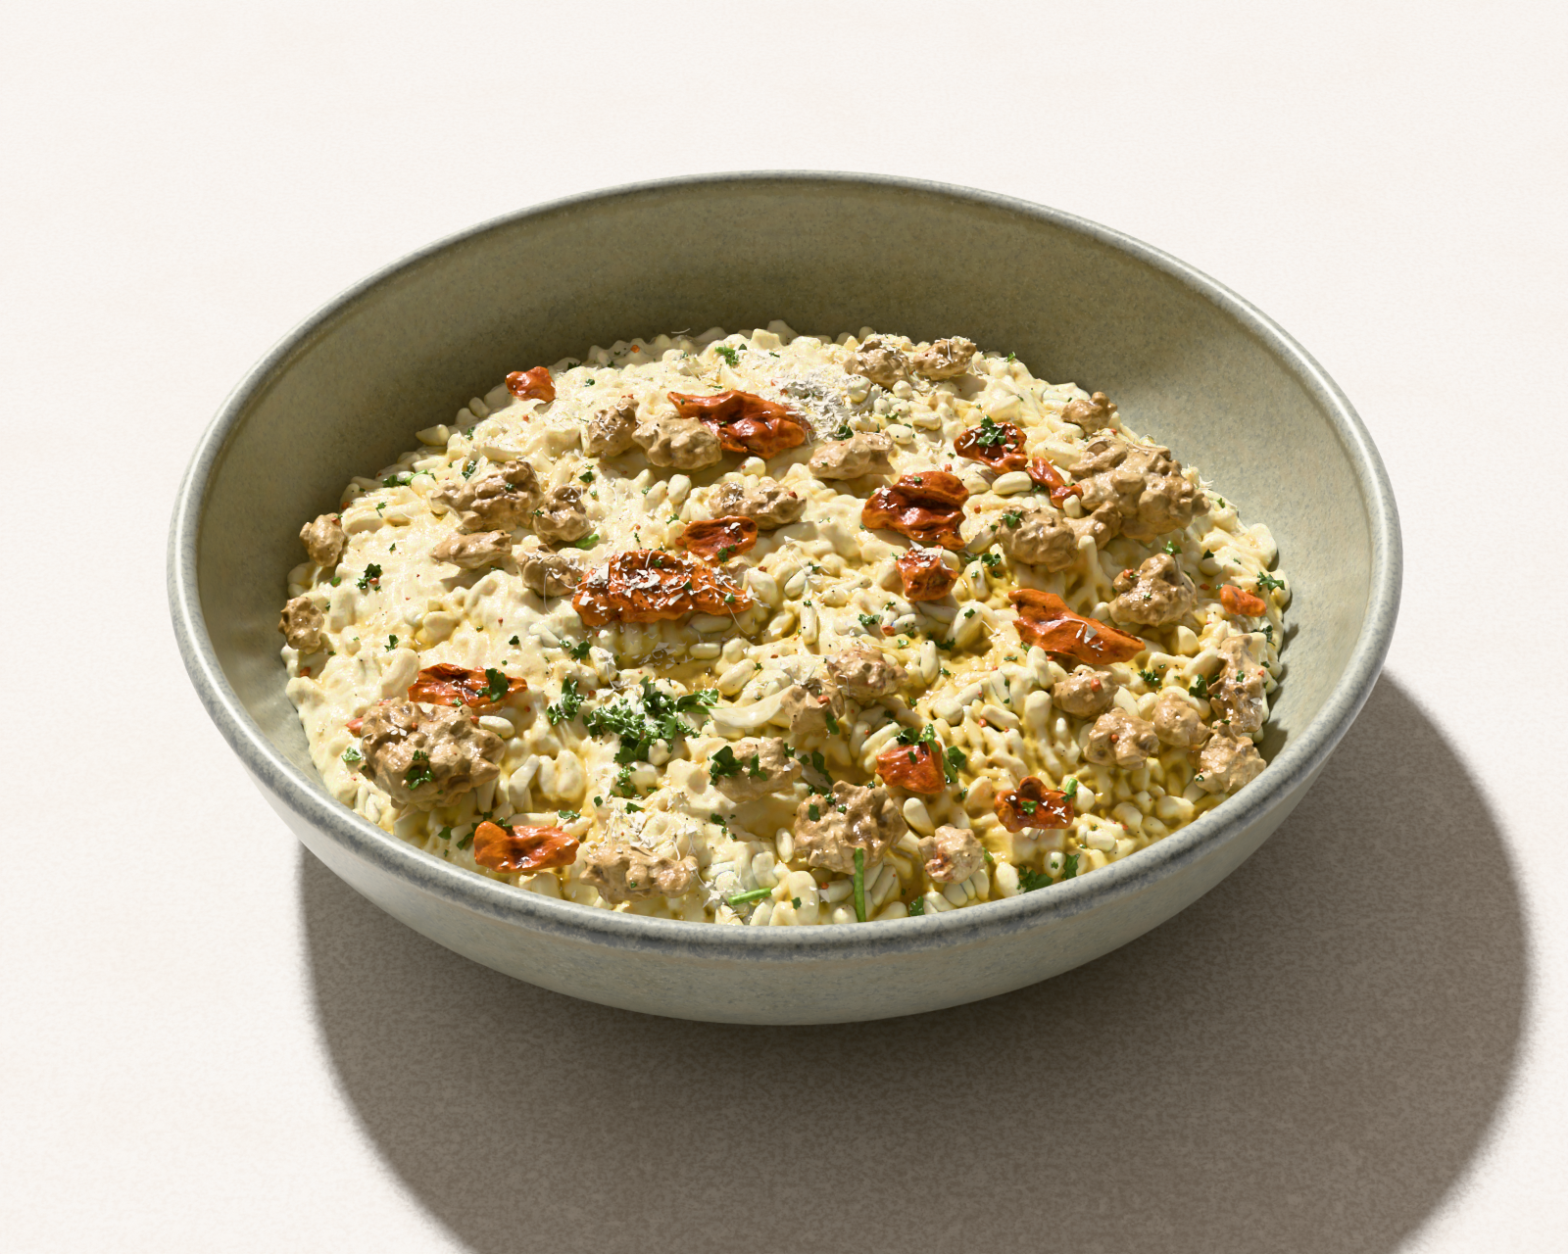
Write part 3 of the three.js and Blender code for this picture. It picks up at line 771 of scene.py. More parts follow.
def settle_grains(rng, floor, topping_tree, topping_box):
    """Drops grains on the floor and pushes them apart until they lie on and beside each other. Each grain is
    three balls in a row."""
    count = GRAIN_TRIES
    broken = rng.random(count) < BROKEN_SHARE
    length = np.clip(rng.normal(GRAIN_LENGTH, 0.55, count), *LENGTH_RANGE)
    length = np.where(broken, rng.uniform(*BROKEN_RANGE, count), length)
    width = np.clip(rng.normal(GRAIN_WIDTH, 0.3, count), *WIDTH_RANGE)
    radius = width / 2
    turn = rng.uniform(0, FULL_TURN, count)
    out = DROP_RADIUS * np.sqrt(rng.random(count))
    where = rng.uniform(0, FULL_TURN, count)
    centre = np.stack([out * np.cos(where), out * np.sin(where), np.zeros(count)], -1)
    centre[:, 2] = floor.under(centre) + 1.5 + rng.random(count) * 7
    axis = unit(np.stack([np.cos(turn), np.sin(turn), rng.normal(0, 0.6, count)], -1))
    reach = (length - width) / 2
    ball = np.array([-1.0, 0.0, 1.0])
    for step in range(SETTLE_STEPS):
        if step % 8 == 0:
            gap = np.linalg.norm(centre[:, None, :] - centre[None, :, :], axis=-1)
            i, j = np.where(np.triu(gap < TOUCH_REACH, 1))
        centre[:, 2] -= EARLY_FALL if step < SETTLE_STEPS * 0.6 else LATE_FALL
        balls = centre[:, None, :] + axis[:, None, :] * (ball[None, :] * reach[:, None])[:, :, None]
        between = balls[i][:, :, None, :] - balls[j][:, None, :, :]
        distance = np.maximum(np.linalg.norm(between, axis=-1), 1e-6)
        over = np.maximum((radius[i] + radius[j])[:, None, None] * 0.95 - distance, 0)
        push = between / distance[..., None] * (over * 0.5)[..., None]
        move = np.zeros((count, 3, 3))
        hits = np.zeros(count)
        np.add.at(move, i, push.sum(2))
        np.add.at(move, j, -push.sum(1))
        touching = (over > 0).sum((1, 2))
        np.add.at(hits, i, touching)
        np.add.at(hits, j, touching)
        move /= np.maximum(1, hits * 0.5)[:, None, None]
        ground = floor.under(balls) - 0.1
        move[..., 2] += np.maximum(ground - balls[..., 2], 0) * 0.8
        flat = np.hypot(balls[..., 0], balls[..., 1])
        limit = inner_radius(balls[..., 2]) - radius[:, None] * 0.9
        inward = np.maximum(flat - limit, 0) / np.maximum(flat, 1e-6)
        move[..., :2] -= balls[..., :2] * inward[..., None]
        if step % 3 == 2:
            move += push_from_toppings(balls, radius, topping_tree, topping_box)
        centre += move.mean(1) * 1.35
        twist = (move * (ball[None, :, None] * reach[:, None, None])).sum(1)
        axis = unit(axis + 0.7 * twist / np.maximum(2 * reach ** 2, 1.5)[:, None])
    return [centre, axis, length, width, broken]


def push_from_toppings(balls, radius, tree, box):
    """Moves each ball of a grain out of the toppings."""
    push = np.zeros_like(balls)
    near = ((balls > box[0] - 3) & (balls < box[1] + 3)).all(-1)
    for g, k in zip(*np.where(near)):
        p = Vector(balls[g, k])
        hit, normal, _, distance = tree.find_nearest(p, 2.4)
        if hit is None:
            continue
        need = radius[g] * 0.92
        if (p - hit).dot(normal) < 0:
            push[g, k] = np.array(normal) * (distance + need) * 0.6
        elif distance < need:
            push[g, k] = np.array(p - hit) / max(distance, 1e-6) * (need - distance) * 0.8
    return push


def grain_meshes(rng, grains, rings, sides):
    """Plump grains with blunt, notched ends, flattish sides and dents; a broken one ends in a rough flat.
    Gives points, triangles and a tint for each grain."""
    centre, axis, length, width, broken = grains
    n = len(centre)
    t = np.cos(np.linspace(math.pi, 0, rings + 2))[1:-1]
    t = np.sign(t) * np.abs(t) ** 0.8
    phi = even_turns(sides)
    blunt = rng.uniform(2.5, 5.5, (n, 1))
    taper = 1 + rng.normal(0, 0.12, (n, 1)) * t
    swell = 1 + rng.normal(0, 0.09, (n, 1)) * np.cos(3.1 * t + rng.uniform(0, 6, (n, 1)))
    half = (width / 2)[:, None] * (1 - np.abs(t) ** blunt) ** (1 / 2.4) * taper * swell
    cut = np.where(broken, rng.uniform(0.45, 0.8, n), 1.1)[:, None]
    stump = (t > cut) & broken[:, None]
    half = np.where(stump, (width / 2)[:, None] * rng.uniform(0.60, 0.92, half.shape), half)
    along = np.where(stump, cut + rng.uniform(0, 0.08, half.shape), t) * (length / 2)[:, None]
    square = rng.uniform(2.0, 3.0, (n, 1))
    roll = rng.uniform(0, 1.6, (n, 1))
    section = (np.abs(np.cos(phi + roll)) ** square + np.abs(np.sin(phi + roll)) ** square) ** (-1 / square)
    three_sided = 0.05 * np.cos(3 * phi + rng.uniform(0, 6, (n, 1)))
    section *= 1 + three_sided + 0.03 * np.cos(5 * phi + rng.uniform(0, 6, (n, 1)))
    toward = np.clip(np.cos(phi[None, None, :] - rng.uniform(0, FULL_TURN, (n, 1, 1))), 0, 1) ** 2
    notch = toward * np.clip((-t[None, :, None] - 0.45) / 0.4, 0, 1) * rng.uniform(0.1, 0.42, (n, 1, 1))
    r = half[:, :, None] * section[:, None, :] * (1 - notch)
    bend = rng.normal(0, 0.6, (n, 1, 1)) * (t ** 2)[None, :, None]
    flatness = rng.uniform(0.74, 0.98, (n, 1, 1))
    local = np.stack([np.repeat(along[:, :, None], sides, 2), r * np.cos(phi) + bend,
                      r * np.sin(phi) * flatness], -1).reshape(n, -1, 3)
    tip = np.zeros((n, 2, 3))
    tip[:, 0, 0] = -length / 2
    tip[:, 1, 0] = np.where(broken, cut[:, 0] + 0.07, 1) * length / 2
    tip[:, :, 1] = bend[:, -1]
    local = np.concatenate([local, tip], 1)
    apart = local + (np.arange(n) * 37.0)[:, None, None]
    dent = smooth_noise((apart * (0.6, 1, 1)).reshape(-1, 3), 2.5, 77).reshape(n, -1, 1)
    crumple = smooth_noise((apart * (0.4, 1, 1)).reshape(-1, 3), 1.1, 78).reshape(n, -1, 1)
    local = local + unit(local * (0.25, 1, 1)) * (0.50 * dent + 0.26 * crumple)
    helper = unit(rng.normal(0, 1, (n, 3)) * (1, 1, 0.35) + (0, 0, 0.02))
    across = unit(np.cross(axis, helper))
    points = centre[:, None, :] + local @ np.stack([axis, across, np.cross(axis, across)], 1)
    per, ring = rings * sides, np.arange(sides)
    one = np.concatenate([grid_faces(rings, sides, wrap=True), fan(per, ring, True),
                          fan(per + 1, ring + per - sides)])
    faces = (one[None, :, :] + (np.arange(n) * (per + 2))[:, None, None]).reshape(-1, 3)
    heart = np.concatenate([np.repeat(1 - t ** 2, sides), [0, 0]])
    tint = rng.uniform(0, 0.65, (n, 1)) + 0.35 * heart
    return points.reshape(-1, 3), faces, tint.ravel()


def seen_from_above(points, tree, sauce, count):
    """Which grains stand out of the sauce somewhere that can be seen from above."""
    ways = [Vector((0, 0, 1))]
    for turn in np.arange(0, FULL_TURN, math.pi / 3):
        ways.append(Vector((math.cos(turn), math.sin(turn), 0.8)).normalized())
    shaped = points.reshape(count, -1, 3)
    proud = shaped[:, :, 2] - sauce.under(shaped)
    seen = np.zeros(count, bool)
    for g in range(count):
        for k in np.argsort(-proud[g])[:3]:
            if proud[g, k] < 0.12:
                break
            start = Vector(shaped[g, k]) + Vector((0, 0, 0.05))
            if any(tree.ray_cast(start + way * 0.3, way, 40.0)[0] is None for way in ways):
                seen[g] = True
                break
    return seen


# ---------------------------------------------------------------- sauce core

def grain_tops(heap, grains):
    """A fine height map of the grains' tops, and one of the level far below that shows between them."""
    line, gx, gy = map_grid(FINE)
    base = heap.at(gx, gy) - SAUCE_DROP - 2.0
    tops = base.copy()
    for centre, axis, length, width, _ in zip(*grains):
        reach = length / 2 + 0.5
        i0, i1 = np.searchsorted(line, (centre[0] - reach, centre[0] + reach))
        j0, j1 = np.searchsorted(line, (centre[1] - reach, centre[1] + reach))
        x, y = gx[j0:j1, i0:i1], gy[j0:j1, i0:i1]
        flat = axis[:2]
        limit = (length - width) / 2
        along = ((x - centre[0]) * flat[0] + (y - centre[1]) * flat[1]) / max(flat @ flat, 1e-4)
        along = np.clip(along, -limit, limit)
        away = np.hypot(x - centre[0] - along * flat[0], y - centre[1] - along * flat[1])
        inside = np.maximum((width / 2) ** 2 - away ** 2, 0)
        height = centre[2] + along * axis[2] + np.sqrt(inside) * 0.92
        here = tops[j0:j1, i0:i1]
        tops[j0:j1, i0:i1] = np.where(inside > 0, np.maximum(here, height), here)
    return tops, base


def sauce_field(heap, grains, topping_tops):
    """The sauce's height: it bridges the creases between the grains and climbs a little up the toppings, and
    is let down between none and a few millimetres, so that some grains are coated and others stand out."""
    tops, base = grain_tops(heap, grains)
    sides = np.minimum(topping_tops, blurred(tops, 120) + 0.2)
    solid = np.maximum(tops, sides)
    wet = creaminess(*map_grid(FINE)[1:])
    level = rolled(solid, FINE, 0.8) * (1 - wet) + rolled(solid, FINE, 2.0) * wet - (1.35 - 1.15 * wet)
    level = blurred(np.maximum(level, base - 0.4), 1)
    return Field(level), Field(blurred(level, 260))


def loose_grains(rng, heap, grains):
    """Which grains lie free on top: some of the topmost ones, more at the front right."""
    tops, _ = grain_tops(heap, grains)
    highest, broad = Field(tops), Field(blurred(tops, 120))
    centre, axis, length, width, _ = grains
    free = np.ones(len(centre), bool)
    for k in (-1, 0, 1):
        spot = centre + axis * (k * 0.3 * length)[:, None]
        free &= spot[:, 2] + width * 0.4 > highest.under(spot) - 0.7
    proud = centre[:, 2] + width / 2 - broad.under(centre)
    chance = 0.5 - 0.45 * creaminess(centre[:, 0], centre[:, 1])
    return free & (proud > LOOSE_HEIGHT) & (rng.random(len(centre)) < chance)


def core_body(sauce):
    """A closed body: the sauce's top out to just inside the wall, and an underside that follows the bowl."""
    n = CORE_ROWS
    u, v = np.meshgrid(np.linspace(-1, 1, n), np.linspace(-1, 1, n))
    x = u * np.sqrt(1 - v * v / 2)
    y = v * np.sqrt(1 - u * u / 2)
    share = np.minimum(np.hypot(x, y), 1)
    turn = np.arctan2(y, x)
    near_wall = 92.0
    reach = inner_radius(sauce.at(near_wall * np.cos(turn), near_wall * np.sin(turn))) + PAST_WALL
    px, py = share * reach * np.cos(turn), share * reach * np.sin(turn)
    z = sauce.at(px, py)
    wall_z = sauce.at(reach * np.cos(turn), reach * np.sin(turn))
    blend = np.clip((share - 0.985) / 0.015, 0, 1)
    z = z * (1 - blend) + np.minimum(z, wall_z) * blend
    top = np.stack([px, py, z], -1).reshape(-1, 3)
    rim = np.concatenate([np.arange(n), np.arange(1, n) * n + n - 1, (n - 1) * n + np.arange(n - 2, -1, -1),
                          np.arange(n - 2, 0, -1) * n])
    points, faces, above = [top], [grid_faces(n, n)], rim
    for k, part in enumerate(np.linspace(0.94, 0.15, 4)):
        ring = top[rim].copy()
        ring[:, :2] *= part
        ring[:, 2] = np.minimum(under_height(np.hypot(ring[:, 0], ring[:, 1])), ring[:, 2] - 0.8)
        points.append(ring)
        below = len(top) + k * len(rim) + np.arange(len(rim))
        faces.append(band(above, below))
        above = below
    points.append(np.array([[0, 0, under_height(0.0)]]))
    middle = np.full(len(rim), above[-1] + 1)
    faces.append(np.stack([above, middle, np.roll(above, -1)], -1))
    return np.concatenate(points), np.concatenate(faces)


def hollowness(points, mean_level):
    """How far down points lie in the hollows of the sauce, from 0 to 1; the rice is painted in shade by it.
    """
    return np.clip((mean_level.under(points) - points[:, 2]) / HOLLOW_DEPTH, 0, 1)


def make_risotto(body, coated, grains, mean_level, material):
    """The sauce and the grains that it coats, melted into one skin, with shade painted golden to dark brown
    in its creases and hollows.
    """
    points, faces = remeshed(*joined([body, coated]), RICE_VOXEL, 2)
    normal = normals_of(points, faces)
    curd = 0.55 - cell_noise(points, 2.4, 31)
    grit = smooth_noise(points, 1.2, 34)
    on_top = np.clip(normal[:, 2] * 2 + 0.4, 0, 1)
    wet = creaminess(points[:, 0], points[:, 1])
    points = points + normal * (on_top * ((0.10 + 0.14 * wet) * curd + 0.14 * grit))[:, None]
    # painted shade: darker in the creases and hollows, a little lighter on bumps, and less of it where the
    # cream is thick
    crease_shade = np.clip(((neighbour_mean(points, faces, 18) - points) * normal).sum(1) / 0.55, -1, 1)
    crease_shade = np.where(crease_shade < 0, 0.6 * crease_shade, crease_shade)
    deep = 0.56 - 0.66 * wet + (0.85 - 0.55 * wet) * crease_shade
    deep = np.clip(deep + (1.0 - 0.75 * wet) * hollowness(points, mean_level), 0, 1)
    made = mesh_object("sauce_core", points, faces, material, deep=deep)
    made.modifiers.new("thin", "DECIMATE").ratio = CORE_TRIANGLES / len(faces)
    points, faces, deep = mesh_arrays(made, "deep")
    bpy.data.objects.remove(made)
    centre, axis, length, _, _ = grains
    near = KDTree(3 * len(centre))
    for k in (-1, 0, 1):
        for g, p in enumerate(centre + axis * (k * 0.33 * length)[:, None]):
            near.insert(p, g)
    near.balance()
    number = np.array([near.find(p)[1] for p in points])
    tint = np.random.default_rng(SEED + 3).uniform(0, 1, len(centre))[number]
    made = mesh_object("sauce_core", points, faces, material, deep=deep, tint=tint)
    finish_piece(made, "risotto")
    return points, faces


# ---------------------------------------------------------------- sausage and tomato

def ball_mesh():
    """Points and triangles of a ball of 162 points."""
    mesh = bpy.data.meshes.new("ball")
    bm = bmesh.new()
    bmesh.ops.create_icosphere(bm, subdivisions=3, radius=1.0)
    bm.to_mesh(mesh)
    bm.free()
    points = np.array([v.co[:] for v in mesh.vertices])
    faces = np.array([p.vertices[:] for p in mesh.polygons])
    bpy.data.meshes.remove(mesh)
    return points, faces


BALL_POINTS, BALL_FACES = ball_mesh()


def face_normals(points, faces):
    """Each triangle's normal, as long as twice its area."""
    a, b, c = points[faces.T]
    return np.cross(b - a, c - a)


def surface_samples(rng, points, faces, area_each):
    """Random places on a mesh, evenly by area, with their normals."""
    cross = face_normals(points, faces)
    area = np.linalg.norm(cross, axis=1)
    count = int(area.sum() / 2 / area_each)
    pick = rng.choice(len(faces), count, p=area / area.sum())
    u, v = rng.random((2, count))
    flip = u + v > 1
    u, v = np.where(flip, 1 - u, u), np.where(flip, 1 - v, v)
    a, b, c = points[faces[pick].T]
    return a + (b - a) * u[:, None] + (c - a) * v[:, None], unit(cross[pick])


def remeshed(points, faces, voxel, smoothing, rounding=0):
    """One closed skin round overlapping bodies, softened."""
    made = mesh_object("scratch", points, faces, None)
    if rounding:
        made.modifiers.new("round", "SUBSURF").levels = rounding
    remesh = made.modifiers.new("skin", "REMESH")
    remesh.mode = "VOXEL"
    remesh.voxel_size = voxel * MM
    soften = made.modifiers.new("soften", "SMOOTH")
    soften.factor = 0.5
    soften.iterations = smoothing
    result = mesh_arrays(made)
    bpy.data.objects.remove(made)
    return result


def normals_of(points, faces):
    cross = face_normals(points, faces)
    total = np.zeros_like(points)
    for k in range(3):
        np.add.at(total, faces[:, k], cross)
    return unit(total)


def neighbour_mean(points, faces, times):
    """Points moved to the mean of their neighbours, times over."""
    edges = np.concatenate([faces[:, [0, 1]], faces[:, [1, 2]], faces[:, [2, 0]]])
    count = np.bincount(edges[:, 0], minlength=len(points))[:, None]
    for _ in range(times):
        total = np.zeros_like(points)
        np.add.at(total, edges[:, 0], points[edges[:, 1]])
        points = total / np.maximum(count, 1)
    return points


def fitted(points, low, high):
    """Points scaled to fill exactly the box from low to high."""
    mine_low, mine_high = points.min(0), points.max(0)
    return low + (points - mine_low) / (mine_high - mine_low) * (high - low)


def relief(points, faces, times, reach):
    """How each point stands against its surroundings, from 0 in creases to 1 on ridges."""
    over = ((points - neighbour_mean(points, faces, times)) * normals_of(points, faces)).sum(1)
    return np.clip(0.5 + over / reach, 0, 1)


def chunk_mesh(rng, size):
    """A torn bit of meat: a ball flattened on many sides."""
    points = BALL_POINTS * rng.uniform(0.75, 1.35, 3)
    for _ in range(9):
        way = unit(rng.normal(0, 1, 3))
        past = np.maximum(points @ way - rng.uniform(0.45, 0.85), 0)
        points = points - past[:, None] * way
    return points * size


def make_sausage_piece(name, rng, sauce, plain, crusted):
    """A crumble: its CAD solid set all over with torn lumps of meat and joined into one skin."""
    points, faces = cad_arrays([name])
    low, high = points.min(0), points.max(0)
    largest = 2.3 + 0.05 * (high - low).max()
    parts = [(points, faces)]
    for p, n in zip(*surface_samples(rng, points, faces, LUMP_AREA)):
        size = rng.uniform(0.9, largest)
        chunk = chunk_mesh(rng, size)
        parts.append((p - n * size * rng.uniform(0.0, 0.75) + chunk, BALL_FACES))
    points, faces = remeshed(*joined(parts), SAUSAGE_VOXEL, 3)
    seed = int(rng.integers(10000))
    normal = normals_of(points, faces)
    swell = smooth_noise(points, 7.0, seed + 9) + 0.7 * smooth_noise(points, 3.0, seed + 10)
    crumb = smooth_noise(points, 1.3, seed + 5)
    points = fitted(points + normal * (0.6 * swell + 0.28 * crumb)[:, None], low - 0.2, high + 0.2)
    cream = np.clip(1.15 - (points[:, 2] - sauce.under(points)) / 3.0, 0, 1)
    smear = np.clip(smooth_noise(points, 6.0, seed + 12) * 2.0 + 0.2 * normal[:, 2], 0, 0.65)
    # high is the relief, by which the sausage material paints shade in the creases and light on the ridges
    made = mesh_object(name + "_crumble", points, faces, crusted if name in CRUSTED else plain,
                       high=relief(points, faces, 22, 0.9), cream=np.maximum(cream, smear))
    finish_piece(made, name)
    return points, faces


# The two browned crumbles, and the tomato pieces that are orange instead of dark red
CRUSTED = ("sausage_15", "sausage_27")
ORANGE = ("tomato_03", "tomato_08", "tomato_09", "tomato_10", "tomato_14")


def make_tomato_piece(name, rng, material):
    """Dried skin with a ragged outline, crumpled into soft folds, dished, its rim thin and turned up."""
    points, faces = cad_arrays([name])
    low, high = points.min(0), points.max(0)
    points, faces = remeshed(points, faces, TOMATO_VOXEL, 2, rounding=2)
    points = fitted(points, low, high)
    middle = points.mean(0)
    # the piece's own directions: along it, across it and through it
    axes = np.linalg.eigh(np.cov((points - middle).T))[1]
    axes = axes * np.sign(axes[2] + 1e-6)
    axes = np.stack([axes[:, k] for k in (2, 1, 0)])
    local = (points - middle) @ axes.T
    half = np.abs(local).max(0)
    seed = int(rng.integers(10000))
    turn = np.arctan2(local[:, 1] / half[1], local[:, 0] / half[0])
    part = np.hypot(local[:, 0] / half[0], local[:, 1] / half[1])
    ring = np.stack([np.cos(turn), np.sin(turn), 0 * turn], -1)
    ragged = 1 + (0.24 * smooth_noise(ring, 0.8, seed) + 0.12 * smooth_noise(ring, 0.3, seed + 1)) * part
    local[:, :2] *= ragged[:, None]
    warp = np.stack([smooth_noise(local, 5.0, seed + k) for k in (2, 3, 4)], -1) * 2.6
    folded = (local + warp) * (0.6, 1.0, 0.5)
    fold = 1 - np.abs(smooth_noise(folded, 5.2, seed + 7)) * 2.4
    wave = smooth_noise(local + warp, 4.0, seed + 6)
    fine = 1 - np.abs(smooth_noise(folded * (0.7, 1, 1), 1.25, seed + 9)) * 2
    rim = np.clip((part - 0.5) / 0.5, 0, 1)
    curl = smooth_noise(ring, 0.75, seed + 5)
    local[:, 2] += half[2] * (0.35 * (part ** 2 - 0.35) + 1.0 * rim ** 1.5 * curl)
    points = middle + local @ axes
    points = points + normals_of(points, faces) * (0.9 * fold + 0.8 * wave + 0.16 * fine - 0.5)[:, None]
    points = fitted(points, low, high)
    fresh = np.full(len(points), 0.85 if name in ORANGE else 0.2)
    # high is the relief, by which the tomato material paints shade in the creases and light on the ridges
    made = mesh_object(name + "_skin", points, faces, material, high=relief(points, faces, 10, 0.55),
                       thin=rim, fresh=fresh)
    finish_piece(made, name)
    return points, faces


# ---------------------------------------------------------------- herbs, cheese and crumbs

class Ground:
    """Everything that lies in the bowl, for resting small things on it from above."""

    def __init__(self, solids):
        self.tree = tree_of(*joined(solids))

    def drop(self, x, y):
        """Where something dropped at x, y comes to lie, and the surface's normal there."""
        hit, normal, _, _ = self.tree.ray_cast(Vector((x, y, 70)), DOWN)
        if hit is None:
            return None
        return np.array(hit), np.array(normal)

    def drops(self, things):
        """For each of (x, y, ...) that hits something: where, the normal there, and the rest of it."""
        for x, y, *rest in things:
            hit = self.drop(x, y)
            if hit is not None:
                yield *hit, *rest


def laid(points, place, normal, lift, tilt, rng):
    """A small thing laid on a surface, turned at random and tilted a little."""
    turn = rng.uniform(0, 6.28)
    up = unit(normal + rng.normal(0, tilt, 3))
    side = unit(np.cross(up, (math.cos(turn), math.sin(turn), 0.1)))
    return place + up * lift + points @ np.stack([side, np.cross(up, side), up])


def random_size(rng, middle, spread, smallest, largest):
    """Sizes of chopped or grated things: many small, few large."""
    return float(np.clip(rng.lognormal(middle, spread), smallest, largest))


def leaf_mesh(rng, size, lobes, ruffle):
    """A scrap of curly leaf: rounded lobes, cupped and ruffled, with a little thickness.
    Gives points, triangles and how near the edge each point is."""
    rings, sectors = (6, 26) if size > 4 else ((4, 16) if size > 2 else (2, 9))
    turn = even_turns(sectors)
    phase = rng.uniform(0, 6)
    outline = 0.78 + 0.15 * np.cos(lobes * turn + phase) + 0.06 * np.cos((2 * lobes + 1) * turn + phase * 2)
    outline *= 1 + 0.25 * np.cos(turn + phase * 3) + rng.normal(0, 0.05, sectors)
    long = rng.uniform(0.5, 0.95)
    ruffles, frills = np.sin((lobes + 2) * turn + phase * 3), np.sin(2.0 * lobes * turn + phase)
    points, edge = [np.zeros((1, 3))], [np.zeros(1)]
    for k in range(1, rings + 1):
        part = k / rings
        x = part * outline * np.cos(turn) * size / 2
        y = part * outline * np.sin(turn) * size / 2 * long
        wave = ruffles * part ** 1.3 + 0.6 * frills * part ** 2.5
        z = ruffle * size * wave * 0.13 + rng.normal(0, 0.022 * size, sectors) * part
        points.append(np.stack([x, y, z], -1))
        edge.append(np.full(sectors, part ** 2))
    top, edge = np.concatenate(points), np.concatenate(edge)
    fold, roll = rng.uniform(-1.3, 1.3, 2) / size
    top[:, 2] += fold * top[:, 1] ** 2 + 0.6 * roll * top[:, 0] ** 2
    rows = [1 + k * sectors + np.arange(sectors) for k in range(rings)]
    faces = np.concatenate([fan(0, rows[0])] + [band(a, b) for a, b in zip(rows, rows[1:])])
    skirt = band(rows[-1], rows[-1] + len(top))
    faces = np.concatenate([faces, faces[:, ::-1] + len(top), skirt])
    return np.concatenate([top, top - (0, 0, 0.18)]), faces, np.concatenate([edge, edge])


def tube_mesh(path, radius, sides, flat=1.0, taper=0.5):
    """A closed tube along a path, thinner at its ends."""
    way = unit(np.gradient(path, axis=0))
    side = unit(np.cross(way, (0.05, 0.03, 1.0)))
    up = np.cross(side, way)
    t = np.linspace(-1, 1, len(path))
    r = radius * (1 - (1 - taper) * np.abs(t) ** 3)
    phi = even_turns(sides)
    ring = side[:, None, :] * np.cos(phi)[None, :, None] + up[:, None, :] * np.sin(phi)[None, :, None] * flat
    points = (path[:, None, :] + ring * r[:, None, None]).reshape(-1, 3)
    count, k = len(points), np.arange(sides)
    faces = np.concatenate([grid_faces(len(path), sides, wrap=True)[:, ::-1], fan(count, k),
                            fan(count + 1, k + count - sides, True)])
    return np.concatenate([points, path[:1], path[-1:]]), faces


def scatter_places(rng, spots, loose, reach=90.0):
    """Places round named spots (x, y, spread, count), and loose ones all over."""
    places = []
    for x, y, spread, count in spots:
        places += [(x + dx, y + dy) for dx, dy in rng.normal(0, spread, (count, 2))]
    r = reach * np.sqrt(rng.random(loose))
    turn = rng.uniform(0, FULL_TURN, loose)
    places += list(zip(r * np.cos(turn), r * np.sin(turn)))
    return [(x, y) for x, y in places if math.hypot(x, y) < reach + 2]


# Leaf scraps lie in clusters; each row is x, y, spread and count
LEAF_SPOTS = [
    (-37, -38, 2.2, 9), (-29, -42, 2.6, 10), (-23, -41, 2.6, 12), (-17, -42, 1.8, 7), (-25, -51, 2.4, 10),
    (-28, -54, 1.8, 6), (-20, -49, 2.4, 8), (-27, -47, 2.4, 7), (4, -54, 2.8, 9), (21, -51, 2.0, 7),
    (26, -56, 1.8, 4), (-11, -62, 2.2, 6), (-49, -36, 1.8, 4), (-51, -40, 1.6, 4), (-60, -61, 1.8, 4),
    (14, -24, 1.4, 2), (38, -5, 1.4, 3), (40, 27, 2.0, 6), (72, -33, 2.2, 6), (64, -27, 1.6, 3),
    (89, -2, 1.2, 2), (87, -11, 1.5, 3), (88, -19, 1.2, 3), (41, -72, 2.0, 5), (47, -70, 1.6, 4),
    (8, -66, 2.0, 3), (-28, -61, 1.4, 2), (-75, 35, 1.8, 3), (-76, 0, 1.6, 4), (-10, 70, 2.5, 4),
    (-39, -26, 1.2, 2), (-24, -1, 1.2, 2), (-10, -9, 1.4, 3), (29, -25, 1.2, 2), (48, -56, 1.5, 3),
]
# Large leaves: x, y and size
LARGE_LEAVES = [
    (-52, -63, 8.5), (-37, -37, 7.5), (-23, -40, 8.5), (-25, -52, 8.5), (-17, -42, 7.5), (5, -53, 7.0),
    (-29, -43, 8.0), (-20, -48, 7.5), (-27, -47, 7.0), (-33, -41, 6.5), (8, -56, 6.5), (0, -56, 5.5),
    (21, -51, 7.0), (23, -54, 5.5), (72, -33, 6.5), (89, -2, 6.0), (41, -72, 6.5), (-10, -62, 6.0),
    (40, 27, 6.5), (8, 4, 4.5), (-73, -38, 5.5), (14, -24, 4.2), (38, -4, 4.4), (29, -25, 4.0),
    (-50, -38, 7.0), (-60, -61, 5.5), (47, -70, 5.5), (-76, 0, 5.0), (65, -27, 5.0), (87, -12, 5.5),
    (-75, 35, 5.0), (-36, -60, 4.5),
]
# Stalks: x, y, heading in degrees and length
STALKS = [
    (-6, -79, 15, 7.0), (26, -56, -10, 5.0), (-36, -1, 35, 4.5), (-14, -42, 4, 9.0), (33, -69, 60, 3.6),
    (12, -79, 100, 4.0), (-72, 34, 20, 4.5), (48, -56, 70, 4.5), (-12, 71, 10, 4.0),
]


